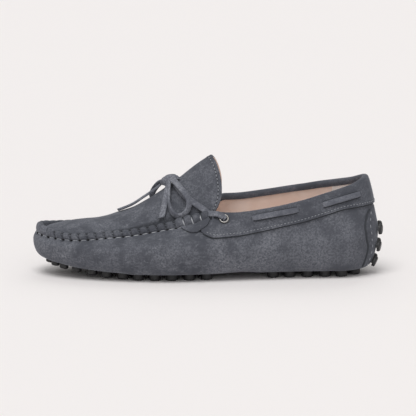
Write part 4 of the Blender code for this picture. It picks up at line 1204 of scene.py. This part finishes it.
@dataclass
class Ridge:
    """Edges of vamp and apron gathered upright and whipped together."""
    palette: Palette
    stitches: StitchMaker
    samples: int = 14               # stations to a stitch
    bulge: float = 0.00075
    pinch: float = 0.00125
    slant: float = 0.30             # lag of a hump's top, in stitches
    core: float = -2.2              # middle of the section, inward of the seam in mm
    outline: tuple = ((0.10, -0.10), (0.50, 0.10), (0.85, 0.32), (0.75, 0.56), (0.35, 0.78),
                      (-0.45, 0.95), (-1.35, 1.03), (-2.00, 1.02), (-2.20, 0.94),
                      (-2.45, 1.02), (-3.05, 1.03), (-3.95, 0.93), (-4.60, 0.74),
                      (-4.95, 0.50), (-4.85, 0.28), (-4.45, 0.10), (-3.60, 0.02),
                      (-2.20, 0.00), (-0.80, -0.06))
    whip: tuple = ((0.45, 0.05, 0.0), (0.85, 0.35, 0.10), (0.62, 0.66, 0.20),
                   (-0.55, 0.90, 0.28), (-2.2, 0.95, 0.33), (-3.9, 0.86, 0.38),
                   (-4.9, 0.5, 0.44))

    def ring(self, turn: float, side: Side, length: float,
             shrink: float) -> tuple[list[Vector], list[float]]:
        """Section of the ridge at a length from the toe.

        Args:
            turn: the station.
            side: the side of the foot.
            length: the length from the toe, for the humps.
            shrink: how far the section closes towards an end.

        Returns:
            Its points, and how dark each is painted as shade: between two humps, and along the
            valley inside its top.
        """
        seam, outward, rise = FORM.seam_frame(turn, side)
        height = FORM.ridge_top(turn, side)
        calm = (1 - 0.75 * (1 - ramp(0.010, 0.032, length)) if side is Side.LATERAL
                else 1 - 0.75 * (1 - ramp(0.055, 0.095, length)))
        thick = ramp(PATHS[side].total - (WHIPPED + 0.4) * PITCH,
                     PATHS[side].total - (WHIPPED - 0.3) * PITCH, length)
        points, shade_depths = [], []
        for out, up in self.outline:
            lag = self.slant * up * (1 - 0.3 * thick)
            wave = abs(math.sin(math.pi * (length / PITCH + lag)))
            hump = wave ** (0.75 - 0.35 * thick)
            top = max(up, 0.0)
            fat = 1 + 0.10 * thick
            shift = (hump - 0.75) * self.bulge * calm * (1 + 0.9 * thick) * min(top * 3, 1.0)
            drop = (1 - hump) * self.pinch * calm * (1 + thick) * top
            if out <= self.core:
                shift = -shift
            reach = (self.core + (out - self.core) * fat * shrink) * MM + shift
            climb = height * up * (0.55 + 0.45 * shrink) - drop
            points.append(seam + outward * reach + rise * climb)
            # Painted shade: darker between the humps, with a dark line along the valley inside the
            # top
            valley_shade = 0.55 if -4.7 < out < -3.0 and up > 0.7 else 0.0
            shade_depths.append(max((1 - hump) * (0.5 + 0.9 * top) * calm, valley_shade))
        return points, shade_depths

    def build(self) -> None:
        """Loft the ridge round the toe, with its threads and the painted shade of its awl holes.
        """
        rows = []
        for side in Side:
            path = PATHS[side]
            count = STITCHES * self.samples
            half = []
            for step in range(count + 1):
                length = path.total * step / count
                left = path.total - length
                shrink = math.sqrt(max(1 - (1 - min(left / 0.0022, 1.0)) ** 2, 0.02))
                half.append(self.ring(path.turn(length), side, length, shrink))
            rows = half[::-1] if side is Side.LATERAL else rows + half[1:]
        mesh = sheet_mesh("seam_ridge", [ring for ring, _ in rows], close=True,
                          creases=[shade_depths for _, shade_depths in rows])
        add_piece("seam_ridge", closed(mesh, open_ends=True), [self.palette.gathered])
        self.threads()

    def base_line(self, side: Side, start: float, end: float, out: float,
                  up: float) -> list[Vector]:
        """Line along the foot of the ridge between two lengths."""
        path = PATHS[side]
        steps = max(int((end - start) / 0.0012), 2)
        line = []
        for step in range(steps + 1):
            turn = path.turn(start + (end - start) * step / steps)
            seam, outward, rise = FORM.seam_frame(turn, side)
            line.append(seam + outward * out + rise * up)
        return line

    def threads(self) -> None:
        """Dashes between the awl holes, near-black beads as painted shade in the holes and in the
        ridge's creases, and the whipping of the thick end.
        """
        dashes, holes, whips = [], [], []
        for side in Side:
            total = PATHS[side].total
            line = self.base_line(side, 0.5 * PITCH, total - 0.5 * PITCH, 0.00055, -0.0001)
            dashes.append((line, STITCHES, (0.00040, 0.00040, 0.0021)))
            # Near-black beads at the awl holes: painted shade
            line = self.base_line(side, PITCH, total - PITCH, 0.00046, 0.0)
            holes.append((line, STITCHES - 1, (0.00080, 0.00070, 0.00095)))
            # Near-black beads inside the ridge's top: painted shade in its creases
            frames = [FORM.seam_frame(PATHS[side].turn(PITCH * (0.75 + step / 4)), side)
                      for step in range(4 * (STITCHES - WHIPPED) - 3)]
            line = [seam - outward * 0.0012 + rise * (FORM.ridge_height(
                FORM.seam_turn(seam.x)) * 0.80) for seam, outward, rise in frames]
            holes.append((line, STITCHES - WHIPPED, (0.00045, 0.00055, 0.0011)))
            for hump in range(1, WHIPPED):
                length = total - hump * PITCH
                route = []
                for out, up, lag in self.whip:
                    turn = PATHS[side].turn(length - lag * PITCH)
                    seam, outward, rise = FORM.seam_frame(turn, side)
                    route.append(seam + outward * (out * MM - 0.00010)
                                 + rise * (FORM.ridge_top(turn, side) * up - 0.0016 * up))
                path = smooth_path(route, 0.0006)
                faces = [Vector((0, side.value * 0.5, 1))] * len(path)
                whips.append(sweep_mesh("whip", path, faces, 0.00095, 0.00095))
        self.stitches.lay("seam_hole_shade", holes, self.palette.shadow)
        self.stitches.lay("seam_threads", dashes, self.palette.thread, more=whips)


@dataclass
class SeamTab:
    """Small leather tab that backs the whipped end of the seam."""
    palette: Palette
    reach: float = 0.0240
    thickness: float = 0.0012
    top: float = 2.04                 # level of its upper edge
    puff: float = 0.0004
    over_band: float = 0.0017         # where it lies on the collar band

    def build(self) -> None:
        """One tab on each side, joined as one piece."""
        tabs = []
        for side in Side:
            path = PATHS[side]
            rows = []
            for share in shares(36):
                turn = path.turn(path.total - self.reach * (1 - share))
                drop = 0.88 * hermite(SEAM_TAB, "value", share) * MM
                seam = FORM.seam_frame(turn, side)[0]
                low = FORM.level_at(turn, side, seam.z - drop)
                lift = 0.0002 + self.over_band * ramp(-0.0095, -0.0050, seam.x)
                rows.append([FORM.over(turn, side, self.top + (low - self.top) * place / 8,
                                       lift + self.puff * math.sin(math.pi * place / 8))
                             for place in range(9)])
            mesh = sheet_mesh("tab", rows, flip=side is Side.LATERAL)
            tabs.append(thicken(mesh, self.thickness, 1, round_edge=0.00045))
        add_piece("seam_end_tabs", merged("seam_end_tabs", tabs), [self.palette.suede])


@dataclass
class CollarBand:
    """Band round the collar, rolled over its rim as a binding."""
    palette: Palette
    stitches: StitchMaker
    thickness: float = 0.0013
    gap: float = 0.0004
    roll_depth: float = 0.0022
    front: float = 0.0073            # ahead of the throat
    roll_start: float = 0.0023       # behind the throat
    stations: int = 170
    puff: float = 0.00025
    stitch_up: float = 0.0017
    stitch_pitch: float = 0.0027
    shade: tuple = (0.0011, 0.0004)  # painted shade under its lower edge

    def edge_level(self, turn: float, side: Side, up: float = 0.0) -> float:
        """Level of the lower edge, or of a line above it."""
        share = share_at(turn)
        at = FORM.collar_share(FORM.toe_x + FORM.length * share)
        return FORM.level_at(turn, side, FORM.collar * hermite(BAND_EDGE, "value", at) + up)

    def edge_line(self, side: Side, front: float, margin: float, steps: int, up: float,
                  lift: float) -> tuple[list[Vector], list[Vector]]:
        """Line beside the lower edge, from the front to the heel.

        Args:
            side: the side of the foot.
            front: turn of the band's front end.
            margin: how far behind it the line starts, in turns.
            steps: stretches of the line.
            up: height over the edge.
            lift: height over the upper's face.

        Returns:
            Its points and their normals.
        """
        points, normals = [], []
        for step in range(steps + 1):
            turn = front + margin + (1 - front - margin) * step / steps
            level = self.edge_level(turn, side, up)
            normals.append(FORM.skin_normal(turn, side, level))
            points.append(FORM.skin(turn, side, level) + normals[-1] * lift)
        return points, normals

    def column(self, turn: float, side: Side, rolled: bool) -> list[Vector]:
        """Inner face of the band, from its lower edge over the rim."""
        low = self.edge_level(turn, side)
        height = FORM.ridge_height(turn)
        radius = FORM.wall / 2 + self.gap
        high = 3 - (self.thickness + radius) / height if rolled else 1.93
        high = max(high, low + 0.01)
        points = []
        for step in range(15):
            puff = self.puff * math.sin(math.pi * step / 14)
            points.append(FORM.over(turn, side, low + (high - low) * step / 14,
                                    self.gap + puff))
        edge = FORM.skin(turn, side, high)
        _, _, rise = FORM.seam_frame(turn, side)
        normal = FORM.skin_normal(turn, side, min(high, 2.9))
        middle = edge - normal * (FORM.wall / 2)
        for step in range(1, 10):
            angle = math.pi * step / 9
            arc = middle + normal * (radius * math.cos(angle)) + rise * (radius * math.sin(angle))
            points.append(arc if rolled else points[14])
        for step in range(1, 4):
            leg = middle - normal * radius - rise * (self.roll_depth * step / 3)
            points.append(leg if rolled else points[14])
        return points

    def build(self) -> None:
        """Loft the band and lay its stitches."""
        front = FORM.turn_at(Side.LATERAL, FORM.throat_x - self.front, FORM.collar * 0.53)
        roll = FORM.seam_turn(FORM.throat_x + self.roll_start)
        turns = [front + (roll - front) * step / 14 for step in range(14)]
        turns += [roll + (1 - roll) * step / self.stations for step in range(self.stations + 1)]
        stops = [(turn, Side.LATERAL) for turn in turns]
        stops += [(turn, Side.MEDIAL) for turn in reversed(turns[:-1])]
        rows = [self.column(turn, side, turn >= roll - 1e-9) for turn, side in stops]
        mesh = thicken(sheet_mesh("collar_binding", rows), self.thickness, 1,
                       round_edge=0.0004)
        add_piece("collar_binding", mesh, [self.palette.suede], nodes=["collar_band"])
        stitched, shades = [], []
        for side in Side:
            line, _ = self.edge_line(side, front, 0.010, 120, self.stitch_up,
                                     self.gap + self.thickness + 0.00018)
            stitched.append((line, round(line_length(line) / self.stitch_pitch),
                             (0.00026, 0.00026, 0.00085)))
            # Dark strip just under the band's lower edge: painted shade
            route = self.edge_line(side, front, 0.002, 140, -0.0003, 0.0002)
            shades.append(sweep_mesh("shade", *route, *self.shade))
        self.stitches.lay("band_stitches", stitched, self.palette.fine_thread)
        add_piece("band_edge_shade", merged("band_edge_shade", shades), [self.palette.edge])


@dataclass
class HeelTab:
    """Tab up the back of the heel, with pebbles through it."""
    palette: Palette
    stitches: StitchMaker
    thickness: float = 0.0013
    gap: float = 0.0003
    studs: tuple = (0.0365, 0.0230, 0.0112)
    stud_y: float = 0.0070
    stud_radius: float = 0.0043
    stud_height: float = 0.0024
    low: float = 0.25                 # level of its lower end
    stitch_pitch: float = 0.0049
    groove: tuple = (0.0013, 0.0005)  # painted shade: dark line along its edges

    def place(self, level: float, reach: float, lift: float) -> Vector:
        """Point over the heel back at a share across, from -1 to 1."""
        height = FORM.skin(1.0, Side.LATERAL, level).z / FORM.collar
        half = 1.10 * hermite(HEEL_TAB, "value", height)
        side = Side.LATERAL if reach < 0 else Side.MEDIAL
        turn = 1 - math.asin(min(abs(reach) * half / LAST[-1].lateral, 1.0)) / math.pi
        return FORM.over(turn, side, level, self.gap + lift)

    def edge_line(self, top: float, margin: float, reach: float, lift: float,
                  steps: int) -> list[Vector]:
        """Line up the tab at a share across, a margin of levels short at both ends."""
        return [self.place(self.low + margin + (top - self.low - 2 * margin) * step / steps,
                           reach, lift) for step in range(steps + 1)]

    def build(self) -> None:
        """Loft the tab, its stitches and its pebbles."""
        top = FORM.level_at(1.0, Side.LATERAL, FORM.collar * HEEL_TAB[-1].at)
        rows = [[self.place(self.low + (top - self.low) * step / 44, reach,
                            0.00015 * math.cos(math.pi * reach / 2))
                 for reach in (-1 + place / 12 for place in range(25))] for step in range(45)]
        mesh = thicken(sheet_mesh("heel_tab_leather", rows), self.thickness, 1,
                       round_edge=0.0005)
        add_piece("heel_tab_leather", closed(mesh), [self.palette.suede], nodes=["heel_tab"])
        grooves, stitched = [], []
        for way in (-1, 1):
            # Dark line just outside each edge: painted shade
            line = self.edge_line(top, 0.01, way * 1.035, 0.0, 60)
            looks = [Vector((0.35, way, 0.1)).normalized()] * len(line)
            grooves.append(sweep_mesh("groove", line, looks, *self.groove))
            line = self.edge_line(top, 0.08, way * 0.86, self.thickness + 0.0002, 50)
            stitched.append((line, round(line_length(line) / self.stitch_pitch),
                             (0.00030, 0.00030, 0.0013)))
        add_piece("heel_tab_groove_shade", merged("heel_tab_groove_shade", grooves), [self.palette.edge])
        self.stitches.lay("heel_tab_stitches", stitched, self.palette.fine_thread)
        pebbles, nodes = [], []
        for row, height in enumerate(self.studs, 1):
            for side in Side:
                column = side.name.lower()
                half = FORM.width * hermite(LAST, column, 1.0)
                turn = 1 - math.asin(self.stud_y / half) / math.pi
                level = FORM.level_at(turn, side, height)
                normal = FORM.skin_normal(turn, side, level)
                seat = FORM.skin(turn, side, level) + normal * (self.thickness + 2 * self.gap)
                mesh = pebble_mesh(self.stud_radius, self.stud_height)
                mesh.transform(standing(seat, normal))
                pebbles.append(mesh)
                nodes.append(f"heel_pebble_{column}_{row}")
        add_piece("heel_pebbles", merged("heel_pebbles", pebbles), [self.palette.rubber],
                  nodes)


def standing(point: Vector, normal: Vector, up: Vector = Vector((0, 0, 1))) -> Matrix:
    """Placement with its Z axis along a normal."""
    z_axis = normal.normalized()
    x_axis = up.cross(z_axis).normalized()
    turn = Matrix((x_axis, z_axis.cross(x_axis), z_axis)).transposed().to_4x4()
    return Matrix.Translation(point) @ turn


def turned_mesh(profile: Sequence[tuple[float, float]], segments: int) -> bpy.types.Mesh:
    """Closed solid turned about Z from (radius, height) pairs; a 0 radius is a pole.

    Args:
        profile: the outline, bottom to top, or all the way round.
        segments: faces round it.

    Returns:
        The mesh.
    """
    solid = bmesh.new()
    loops = []
    for radius, height in profile:
        if radius < 1e-7:
            loops.append([solid.verts.new((0, 0, height))])
        else:
            loops.append([solid.verts.new((radius * math.cos(2 * math.pi * step / segments),
                                           radius * math.sin(2 * math.pi * step / segments),
                                           height)) for step in range(segments)])
    closed = len(loops[0]) > 1
    pairs = list(zip(loops, loops[1:])) + ([(loops[-1], loops[0])] if closed else [])
    for low, high in pairs:
        for step in range(segments):
            after = (step + 1) % segments
            corners = [low[step % len(low)], low[after % len(low)],
                       high[after % len(high)], high[step % len(high)]]
            solid.faces.new(list(dict.fromkeys(corners)))
    return mesh_of(solid, "turned", outward=True)


def pebble_mesh(radius: float, height: float, base: float = 0.0) -> bpy.types.Mesh:
    """Rubber pebble with a rounded shoulder and a flat, slightly dished end."""
    soft = min(0.0013, height * 0.6)
    profile = [(0.0, -base), (radius, -base)]
    profile.append((radius, max(height - soft, -base + 0.0001)))
    for step in range(1, 7):
        angle = math.pi / 2 * step / 6
        profile.append((radius - soft * 0.85 * (1 - math.cos(angle)),
                        height - soft + soft * math.sin(angle)))
    profile += [(radius * 0.45, height), (0.0, height)]
    return turned_mesh(profile, 28)


@dataclass
class Sole:
    """Rubber pebbles through the leather bottom, on a sheet inside it."""
    palette: Palette
    pad: float = 0.0024
    margin: float = 0.0012
    inset: float = 0.0008
    radius: float = 0.0047
    sock: float = 0.0020              # insole's thickness, and the crown in its middle
    sock_crown: float = 0.0006
    sock_inset: float = 0.0008
    spans: tuple = (("sole_forefoot", 0.0, 0.5275), ("sole_heel", 0.6707, 1.0))

    def edge(self, x: float, side: Side, inset: float) -> Vector:
        """Point of the feather line, drawn in by an inset, at a position."""
        turn = halfway(lambda at: FORM.feather(at, side, -inset).x < x, 0.0, 1.0)
        return FORM.feather(turn, side, -inset)

    def places(self, rows: Sequence[Row]) -> list[tuple[float, float, float, float]]:
        """Position, radius and height of each pebble."""
        margin = self.margin + FORM.gap + self.inset
        ends = [FORM.feather(turn, Side.LATERAL, -margin - self.radius
                             * hermite(SOLE, "girth", turn)).x for turn in (0.0, 1.0)]
        found = []
        for row in rows:
            x = ends[0] + (ends[1] - ends[0]) * row.at
            share = FORM.length_share(x)
            radius = self.radius * hermite(SOLE, "girth", share)
            near, far = (self.edge(x, side, margin + radius).y for side in Side)
            for step in range(int(row.value)):
                y = near + (far - near) * step / (row.value - 1)
                found.append((x, y, radius, FORM.pebble * hermite(SOLE, "stud", share)))
        return found

    def outline(self, start: float, end: float, margin: float) -> list[tuple[Vector, Vector]]:
        """Pairs of edge points of a sheet between two length shares."""
        front, rear = (FORM.toe_x + FORM.length * share for share in (start, end))
        tips = [FORM.feather(turn, Side.LATERAL, -margin).x for turn in (0.0, 1.0)]
        front, rear = max(front, tips[0]), min(rear, tips[1])
        pairs = []
        for step in range(61):
            x = front + (rear - front) * (1 - math.cos(math.pi * step / 60)) / 2
            pairs.append(tuple(self.edge(x, side, margin) for side in Side))
        return pairs

    def sheet(self, name: str, pairs: Sequence[tuple[Vector, Vector]], low: float,
              high: float, crown: float = 0.0) -> bpy.types.Mesh:
        """Closed sheet over the leather bottom."""
        rows = []
        for near, far in pairs:
            row = []
            for step in range(21):
                point = near.lerp(far, step / 20)
                swell = crown * (1 - (2 * step / 20 - 1) ** 6)
                point.z = FORM.bottom(point.x) + high - crown + swell
                row.append(point)
            rows.append(row)
        mesh = thicken(sheet_mesh(name, rows), high - low, -1, round_edge=0.0003)
        return closed(mesh)

    def build(self) -> None:
        """Pebbles, their inner sheets and the insole."""
        for (node, start, end), rows in zip(self.spans, (FOREFOOT_ROWS, HEEL_ROWS)):
            parts = []
            for x, y, radius, height in self.places(rows):
                slope = (FORM.bottom(x + MM) - FORM.bottom(x - MM)) / (2 * MM)
                mesh = pebble_mesh(radius, height, 0.0015)
                mesh.transform(standing(Vector((x, y, FORM.bottom(x))), Vector((slope, 0, -1)),
                                        Vector((0, 1, 0))))
                parts.append(mesh)
            pairs = self.outline(start, end, self.margin + FORM.gap)
            parts.append(self.sheet("pad", pairs, FORM.wall + 0.00005, self.pad))
            add_piece(node + "_pebbles", merged(node, parts), [self.palette.rubber],
                      [node])
        low = self.pad + FORM.gap
        mesh = self.sheet("insole_sock", self.outline(0.0, 1.0, self.sock_inset), low,
                          low + self.sock, self.sock_crown)
        add_piece("insole_sock", mesh, [self.palette.lining], ["insole"])


@dataclass
class Lacing:
    """Thong through the band's slots and eyelets, tied in a bow."""
    palette: Palette
    width: float = 0.0048
    thickness: float = 0.0018
    band: float = 0.0017              # band's outer face above the upper
    spacing: float = 0.0011           # between a swept thong's rings
    eyelet_setback: float = 0.0109
    eyelet_height: float = 0.0480
    rim_setback: float = 0.0066       # where the thong crosses the rim
    rim_out: float = 0.0040
    rim_drop: float = 0.0012
    knot_at: float = 0.762            # knot's middle, as in a lace row
    knot_across: float = -0.06
    knot_lift: float = 0.0041
    knot_back: float = 0.0022
    knot_scale: float = 0.86

    def on_band(self, side: Side, x: float, height: float, lift: float) -> tuple[Vector, Vector]:
        """Point over the band, and its normal."""
        turn = FORM.turn_at(side, x, height)
        level = FORM.level_at(turn, side, height)
        normal = FORM.skin_normal(turn, side, level)
        return FORM.skin(turn, side, level) + normal * (self.band + lift), normal

    def bar_route(self, side: Side, bar: tuple, steps: int,
                  lift: Callable[[float], float]) -> tuple[list, list]:
        """Points and normals of a stretch over the band."""
        (front, low), (rear, high) = bar
        start, end = FORM.collar_x(front), FORM.collar_x(rear)
        spots = [self.on_band(side, start + (end - start) * share,
                              FORM.collar * (low + (high - low) * share), lift(share))
                 for share in shares(steps)]
        return [point for point, _ in spots], [normal for _, normal in spots]

    @staticmethod
    def bar_lift(share: float) -> float:
        """Height of a bar over the band, tucked in at both ends."""
        tuck = ramp(0.0, 0.055, share) * (1 - ramp(0.945, 1.0, share))
        return -0.0017 + 0.0031 * tuck + 0.0006 * math.sin(math.pi * share)

    def bars(self) -> None:
        """Stretches of thong over the band, both ends turned into slots, with painted shade under
        each.
        """
        slots = []
        for side in Side:
            for number, bar in enumerate(LACE_BARS, 1):
                name = f"lace_bar_{side.name.lower()}_{number}"
                route = self.bar_route(side, bar, 40, self.bar_lift)
                mesh = sweep_mesh(name, *route, self.width * 0.92, self.thickness, taper=5)
                add_piece(f"{name}_thong", mesh, [self.palette.thong], [name])
                # Dark strip under each bar, wider than it: painted shade round the bar
                route = self.bar_route(side, bar, 24, lambda share: 0.0)
                slots.append(sweep_mesh("slot", *route, self.width * 1.24, 0.0006, taper=3))
        add_piece("lace_slots", merged("lace_slots", slots), [self.palette.edge])

    def eyelet_frame(self, side: Side) -> Matrix:
        """Placement of an eyelet."""
        x, z = FORM.throat_x + self.eyelet_setback, self.eyelet_height

        def spot(dx: float, dz: float) -> Vector:
            """Outer face of the upper beside the eyelet."""
            turn = FORM.turn_at(side, x + dx, z + dz)
            return FORM.skin(turn, side, FORM.level_at(turn, side, z + dz))

        centre = spot(0, 0)
        spots = [spot(0.0041 * math.cos(step * math.pi / 4), 0.0041 * math.sin(step * math.pi / 4))
                 for step in range(8)]
        normal = ((spots[0] - spots[4]).cross(spots[2] - spots[6]) * -side.value).normalized()
        lift = max((edge - centre).dot(normal) for edge in spots)
        return standing(centre + normal * (lift + FORM.gap), normal)

    def eyelets(self) -> None:
        """Turned eyelets with a rolled lip, and a near-black disc in the bore as painted shade."""
        bore, barrel, flange, seat, lip = 0.0024, 0.0028, 0.0041, 0.0017, 0.0011
        middle = (bore + flange) / 2
        profile = [(middle + (flange - middle) * math.cos(angle),
                    seat + lip * math.sin(angle) ** 0.8)
                   for angle in (math.pi * step / 16 for step in range(17))]
        profile += [(bore, -0.0020), (barrel, -0.0020), (barrel, seat - 0.0001),
                    (flange - 0.0002, seat - 0.0001)]
        for side in Side:
            mesh = turned_mesh(profile, 48)
            mesh.transform(self.eyelet_frame(side))
            name = f"eyelet_{side.name.lower()}"
            add_piece(f"{name}_ring", mesh, [self.palette.nickel], [name])
            # Near-black disc inside the bore: painted shade
            mesh = turned_mesh([(0.0, 0.0002), (bore + 0.0001, 0.0002),
                                (bore + 0.0001, 0.0009), (0.0, 0.0009)], 24)
            mesh.transform(self.eyelet_frame(side))
            add_piece(f"{name}_bore", mesh, [self.palette.shadow])

    def over_apron(self, rows: Sequence[LaceRow], side: Side) -> tuple[list, list]:
        """Points and face directions of a thong over the apron."""
        points, normals = [], []
        for row in rows:
            turn = FORM.apron_turn(row.at)
            across = row.across * side.value * -1
            normals.append(FORM.apron_normal(turn, across))
            points.append(FORM.apron_point(turn, across) + normals[-1] * row.lift * MM)
        faces = []
        for index, (row, normal) in enumerate(zip(rows, normals)):
            run = points[min(index + 1, len(rows) - 1)] - points[max(index - 1, 0)]
            away = run.cross(normal).normalized() * side.value
            lean = math.radians(row.lean)
            faces.append(normal * math.cos(lean) + away * math.sin(lean))
        return points, faces

    def thong(self, name: str, points: Sequence[Vector], faces: Sequence[Vector],
              nodes: Sequence[str], far_end: str = "", slant: float = 0.0,
              pieces: Sequence[bpy.types.Object] = ()) -> bpy.types.Object:
        path = smooth_path(points, self.spacing)
        count = len(path)
        directions = []
        for index, point in enumerate(path):
            place = index / (count - 1) * (len(points) - 1)
            low = min(int(place), len(points) - 2)
            directions.append(faces[low].lerp(faces[low + 1], place - low).normalized())
        mesh = sweep_mesh(name, path, directions, self.width, self.thickness, slant)
        item = add_piece(name, mesh, [self.palette.thong], nodes)
        return item

    def crossings(self) -> None:
        """Thong from each eyelet over the collar and up to the knot."""
        for side in Side:
            eyelet = self.eyelet_frame(side)
            out = (eyelet.to_3x3() @ Vector((0, 0, 1))).normalized()
            points = [eyelet @ Vector((0, 0, 0.0004)), eyelet @ Vector((0, 0.0004, 0.0026))]
            faces = [Vector((-0.8, 0, 0.6)) + out * 0.5, out + Vector((-0.35, 0, 0.3))]
            turn = FORM.seam_turn(FORM.throat_x + self.rim_setback)
            _, outward, rise = FORM.seam_frame(turn, side)
            points.append(FORM.skin(turn, side, 3) + outward * self.rim_out
                          - rise * self.rim_drop)
            faces.append((outward * 0.7 + Vector((0, 0, 0.75))).normalized())
            more, looks = self.over_apron(CROSSING, side)
            name = f"lace_{side.name.lower()}"
            self.thong(f"{name}_thong", points + more, faces + looks, [name])

    def bow(self) -> None:
        """Knot, loops and ends."""
        knot = self.knot()
        for part, rows, side, far_end, slant in (
                ("bow_loop_lateral", OUTER_LOOP, Side.LATERAL, "knot", 0.0),
                ("bow_loop_medial", INNER_LOOP, Side.MEDIAL, "object", 0.0),
                ("bow_end_lateral", OUTER_END, Side.LATERAL, "bare", 0.0026),
                ("bow_end_medial", INNER_END, Side.MEDIAL, "bare", 0.0015)):
            points, faces = self.over_apron(rows, side)
            self.thong(f"{part}_thong", points, faces, [part], far_end, slant,
                       [knot] if far_end == "knot" else [])

    def knot(self) -> bpy.types.Object:
        """Wraps of thong pulled tight round each other."""
        turn = FORM.apron_turn(self.knot_at)
        heart = (FORM.apron_point(turn, self.knot_across)
                 + FORM.apron_normal(turn, self.knot_across) * self.knot_lift)
        heart.x += self.knot_back
        wraps = [
            ([(-6.2, -1.0, -4.2), (-6.9, -2.6, -1.6), (-5.0, -4.0, 1.4), (-1.0, -4.4, 2.6),
              (3.4, -3.9, 3.0), (6.6, -2.6, 2.6), (7.8, 0.2, 1.2), (7.0, 2.6, -1.0)],
             (0, -0.75, 0.65)),
            ([(-6.6, 2.2, -3.0), (-5.8, 0.2, 0.6), (-3.0, -1.2, 3.2), (1.2, -1.2, 4.1),
              (5.0, -0.6, 3.9), (7.2, 1.6, 2.2)], (0, -0.2, 1.0)),
            ([(-4.6, -3.0, -4.6), (-3.6, -4.6, -2.0), (-0.6, -5.3, 0.6), (2.6, -4.6, 0.2),
              (5.4, -3.6, -1.6)], (0, -1.0, 0.25)),
        ]
        parts = []
        for spots, face in wraps:
            path = smooth_path([heart + Vector(spot) * self.knot_scale * MM for spot in spots],
                               0.0007)
            looks = []
            for point in path:
                away = point - heart
                away.x *= 0.35
                looks.append((away.normalized() + Vector(face) * 0.8).normalized())
            parts.append(sweep_mesh("wrap", path, looks, self.width * 0.80, self.thickness * 0.9))
        core = turned_mesh([(0.0, -0.0042)] + [
            (0.0024 * math.cos(angle), 0.0042 * math.sin(angle))
            for angle in (math.radians(a) for a in range(-75, 90, 15))] + [(0.0, 0.0042)], 24)
        core.transform(standing(heart, Vector((1, 0, 0.25))))
        parts.append(core)
        return add_piece("bow_knot_wraps", merged("bow_knot_wraps", parts),
                         [self.palette.thong], ["bow_knot"])

    def build(self) -> None:
        """All of the lacing."""
        self.bow()
        self.crossings()
        self.bars()
        self.eyelets()


@dataclass
class Lining:
    """Seam of the heel pocket inside the collar."""
    palette: Palette
    stitches: StitchMaker
    pocket_x: float = 0.1005
    low: float = 0.030
    rise: float = 0.034
    stitch_pitch: float = 0.0029

    def build(self) -> None:
        """Two rows of stitches either side of the pocket's edge."""
        rows = []
        for side in Side:
            for shift in (-0.0012, 0.0014):
                line = []
                for step in range(13):
                    height = self.low + self.rise * step / 12
                    turn = FORM.turn_at(side, self.pocket_x + shift, height)
                    line.append(FORM.over(turn, side, FORM.level_at(turn, side, height),
                                          -(FORM.wall + 0.0001)))
                rows.append((line, round(line_length(line) / self.stitch_pitch),
                             (0.00028, 0.00028, 0.0009)))
        self.stitches.lay("lining_stitches", rows, self.palette.tan_thread, "lining_leather")


@dataclass
class Studio:
    """Pale floor, soft light and the photograph's camera."""
    distance: float = 3.0
    elevation: float = 10.0
    frame_width: float = 0.3328       # width of the picture at the shoe
    aim_z: float = 0.0526
    floor: str = "#F1EDEC"
    floor_reach: float = 20.0
    sky: float = 0.36
    lamps: tuple = (("key", (-0.35, -0.9, 2.4), 36.0, 1.58),
                    ("front", (0.1, -2.0, 0.9), 60.0, 0.74),
                    ("rim", (0.2, 1.6, 1.5), 50.0, 0.50))

    def build(self) -> None:
        """Floor, lights and camera."""
        mesh = bpy.data.meshes.new("floor")
        far = self.floor_reach
        mesh.from_pydata([(-far, -far, 0), (far, -far, 0), (far, far, 0), (-far, far, 0)], [],
                         [(0, 1, 2, 3)])
        mesh.materials.append(Finish("paper_floor", self.floor, 0.95).material)
        placed("floor", mesh)
        world = bpy.data.worlds.new("studio")
        world.use_nodes = True
        background = world.node_tree.nodes["Background"]
        background.inputs["Color"].default_value = (1.0, 0.995, 0.985, 1)
        background.inputs["Strength"].default_value = self.sky
        bpy.context.scene.world = world
        for name, place, spread, energy in self.lamps:
            lamp = bpy.data.lights.new(name, "SUN")
            lamp.angle, lamp.energy = math.radians(spread), energy
            item = placed(name, lamp)
            item.location = place
            item.rotation_euler = (Vector((0, 0, 0.04)) - Vector(place)).to_track_quat(
                "-Z", "Y").to_euler()
        view = bpy.context.scene.view_settings
        view.view_transform, view.look = "Standard", "None"
        lens = bpy.data.cameras.new("camera")
        lens.sensor_width = 36.0
        lens.lens = 36.0 * self.distance / self.frame_width
        lens.clip_end = 100.0
        camera = placed("camera", lens)
        tilt = math.radians(self.elevation)
        camera.location = (0, -self.distance * math.cos(tilt),
                           self.aim_z + self.distance * math.sin(tilt))
        camera.rotation_euler = (math.pi / 2 - tilt, 0, 0)
        bpy.context.scene.camera = camera


def main() -> None:
    """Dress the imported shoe."""
    logging.basicConfig(level=logging.INFO, format="%(message)s")
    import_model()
    Studio().build()
    palette = Palette()
    stitches = StitchMaker()
    Lacing(palette).build()
    Upper(palette).build()
    Apron(palette, stitches).build()
    Ridge(palette, stitches).build()
    SeamTab(palette).build()
    CollarBand(palette, stitches).build()
    HeelTab(palette, stitches).build()
    Sole(palette).build()
    Lining(palette, stitches).build()


if __name__ == "__main__":
    main()
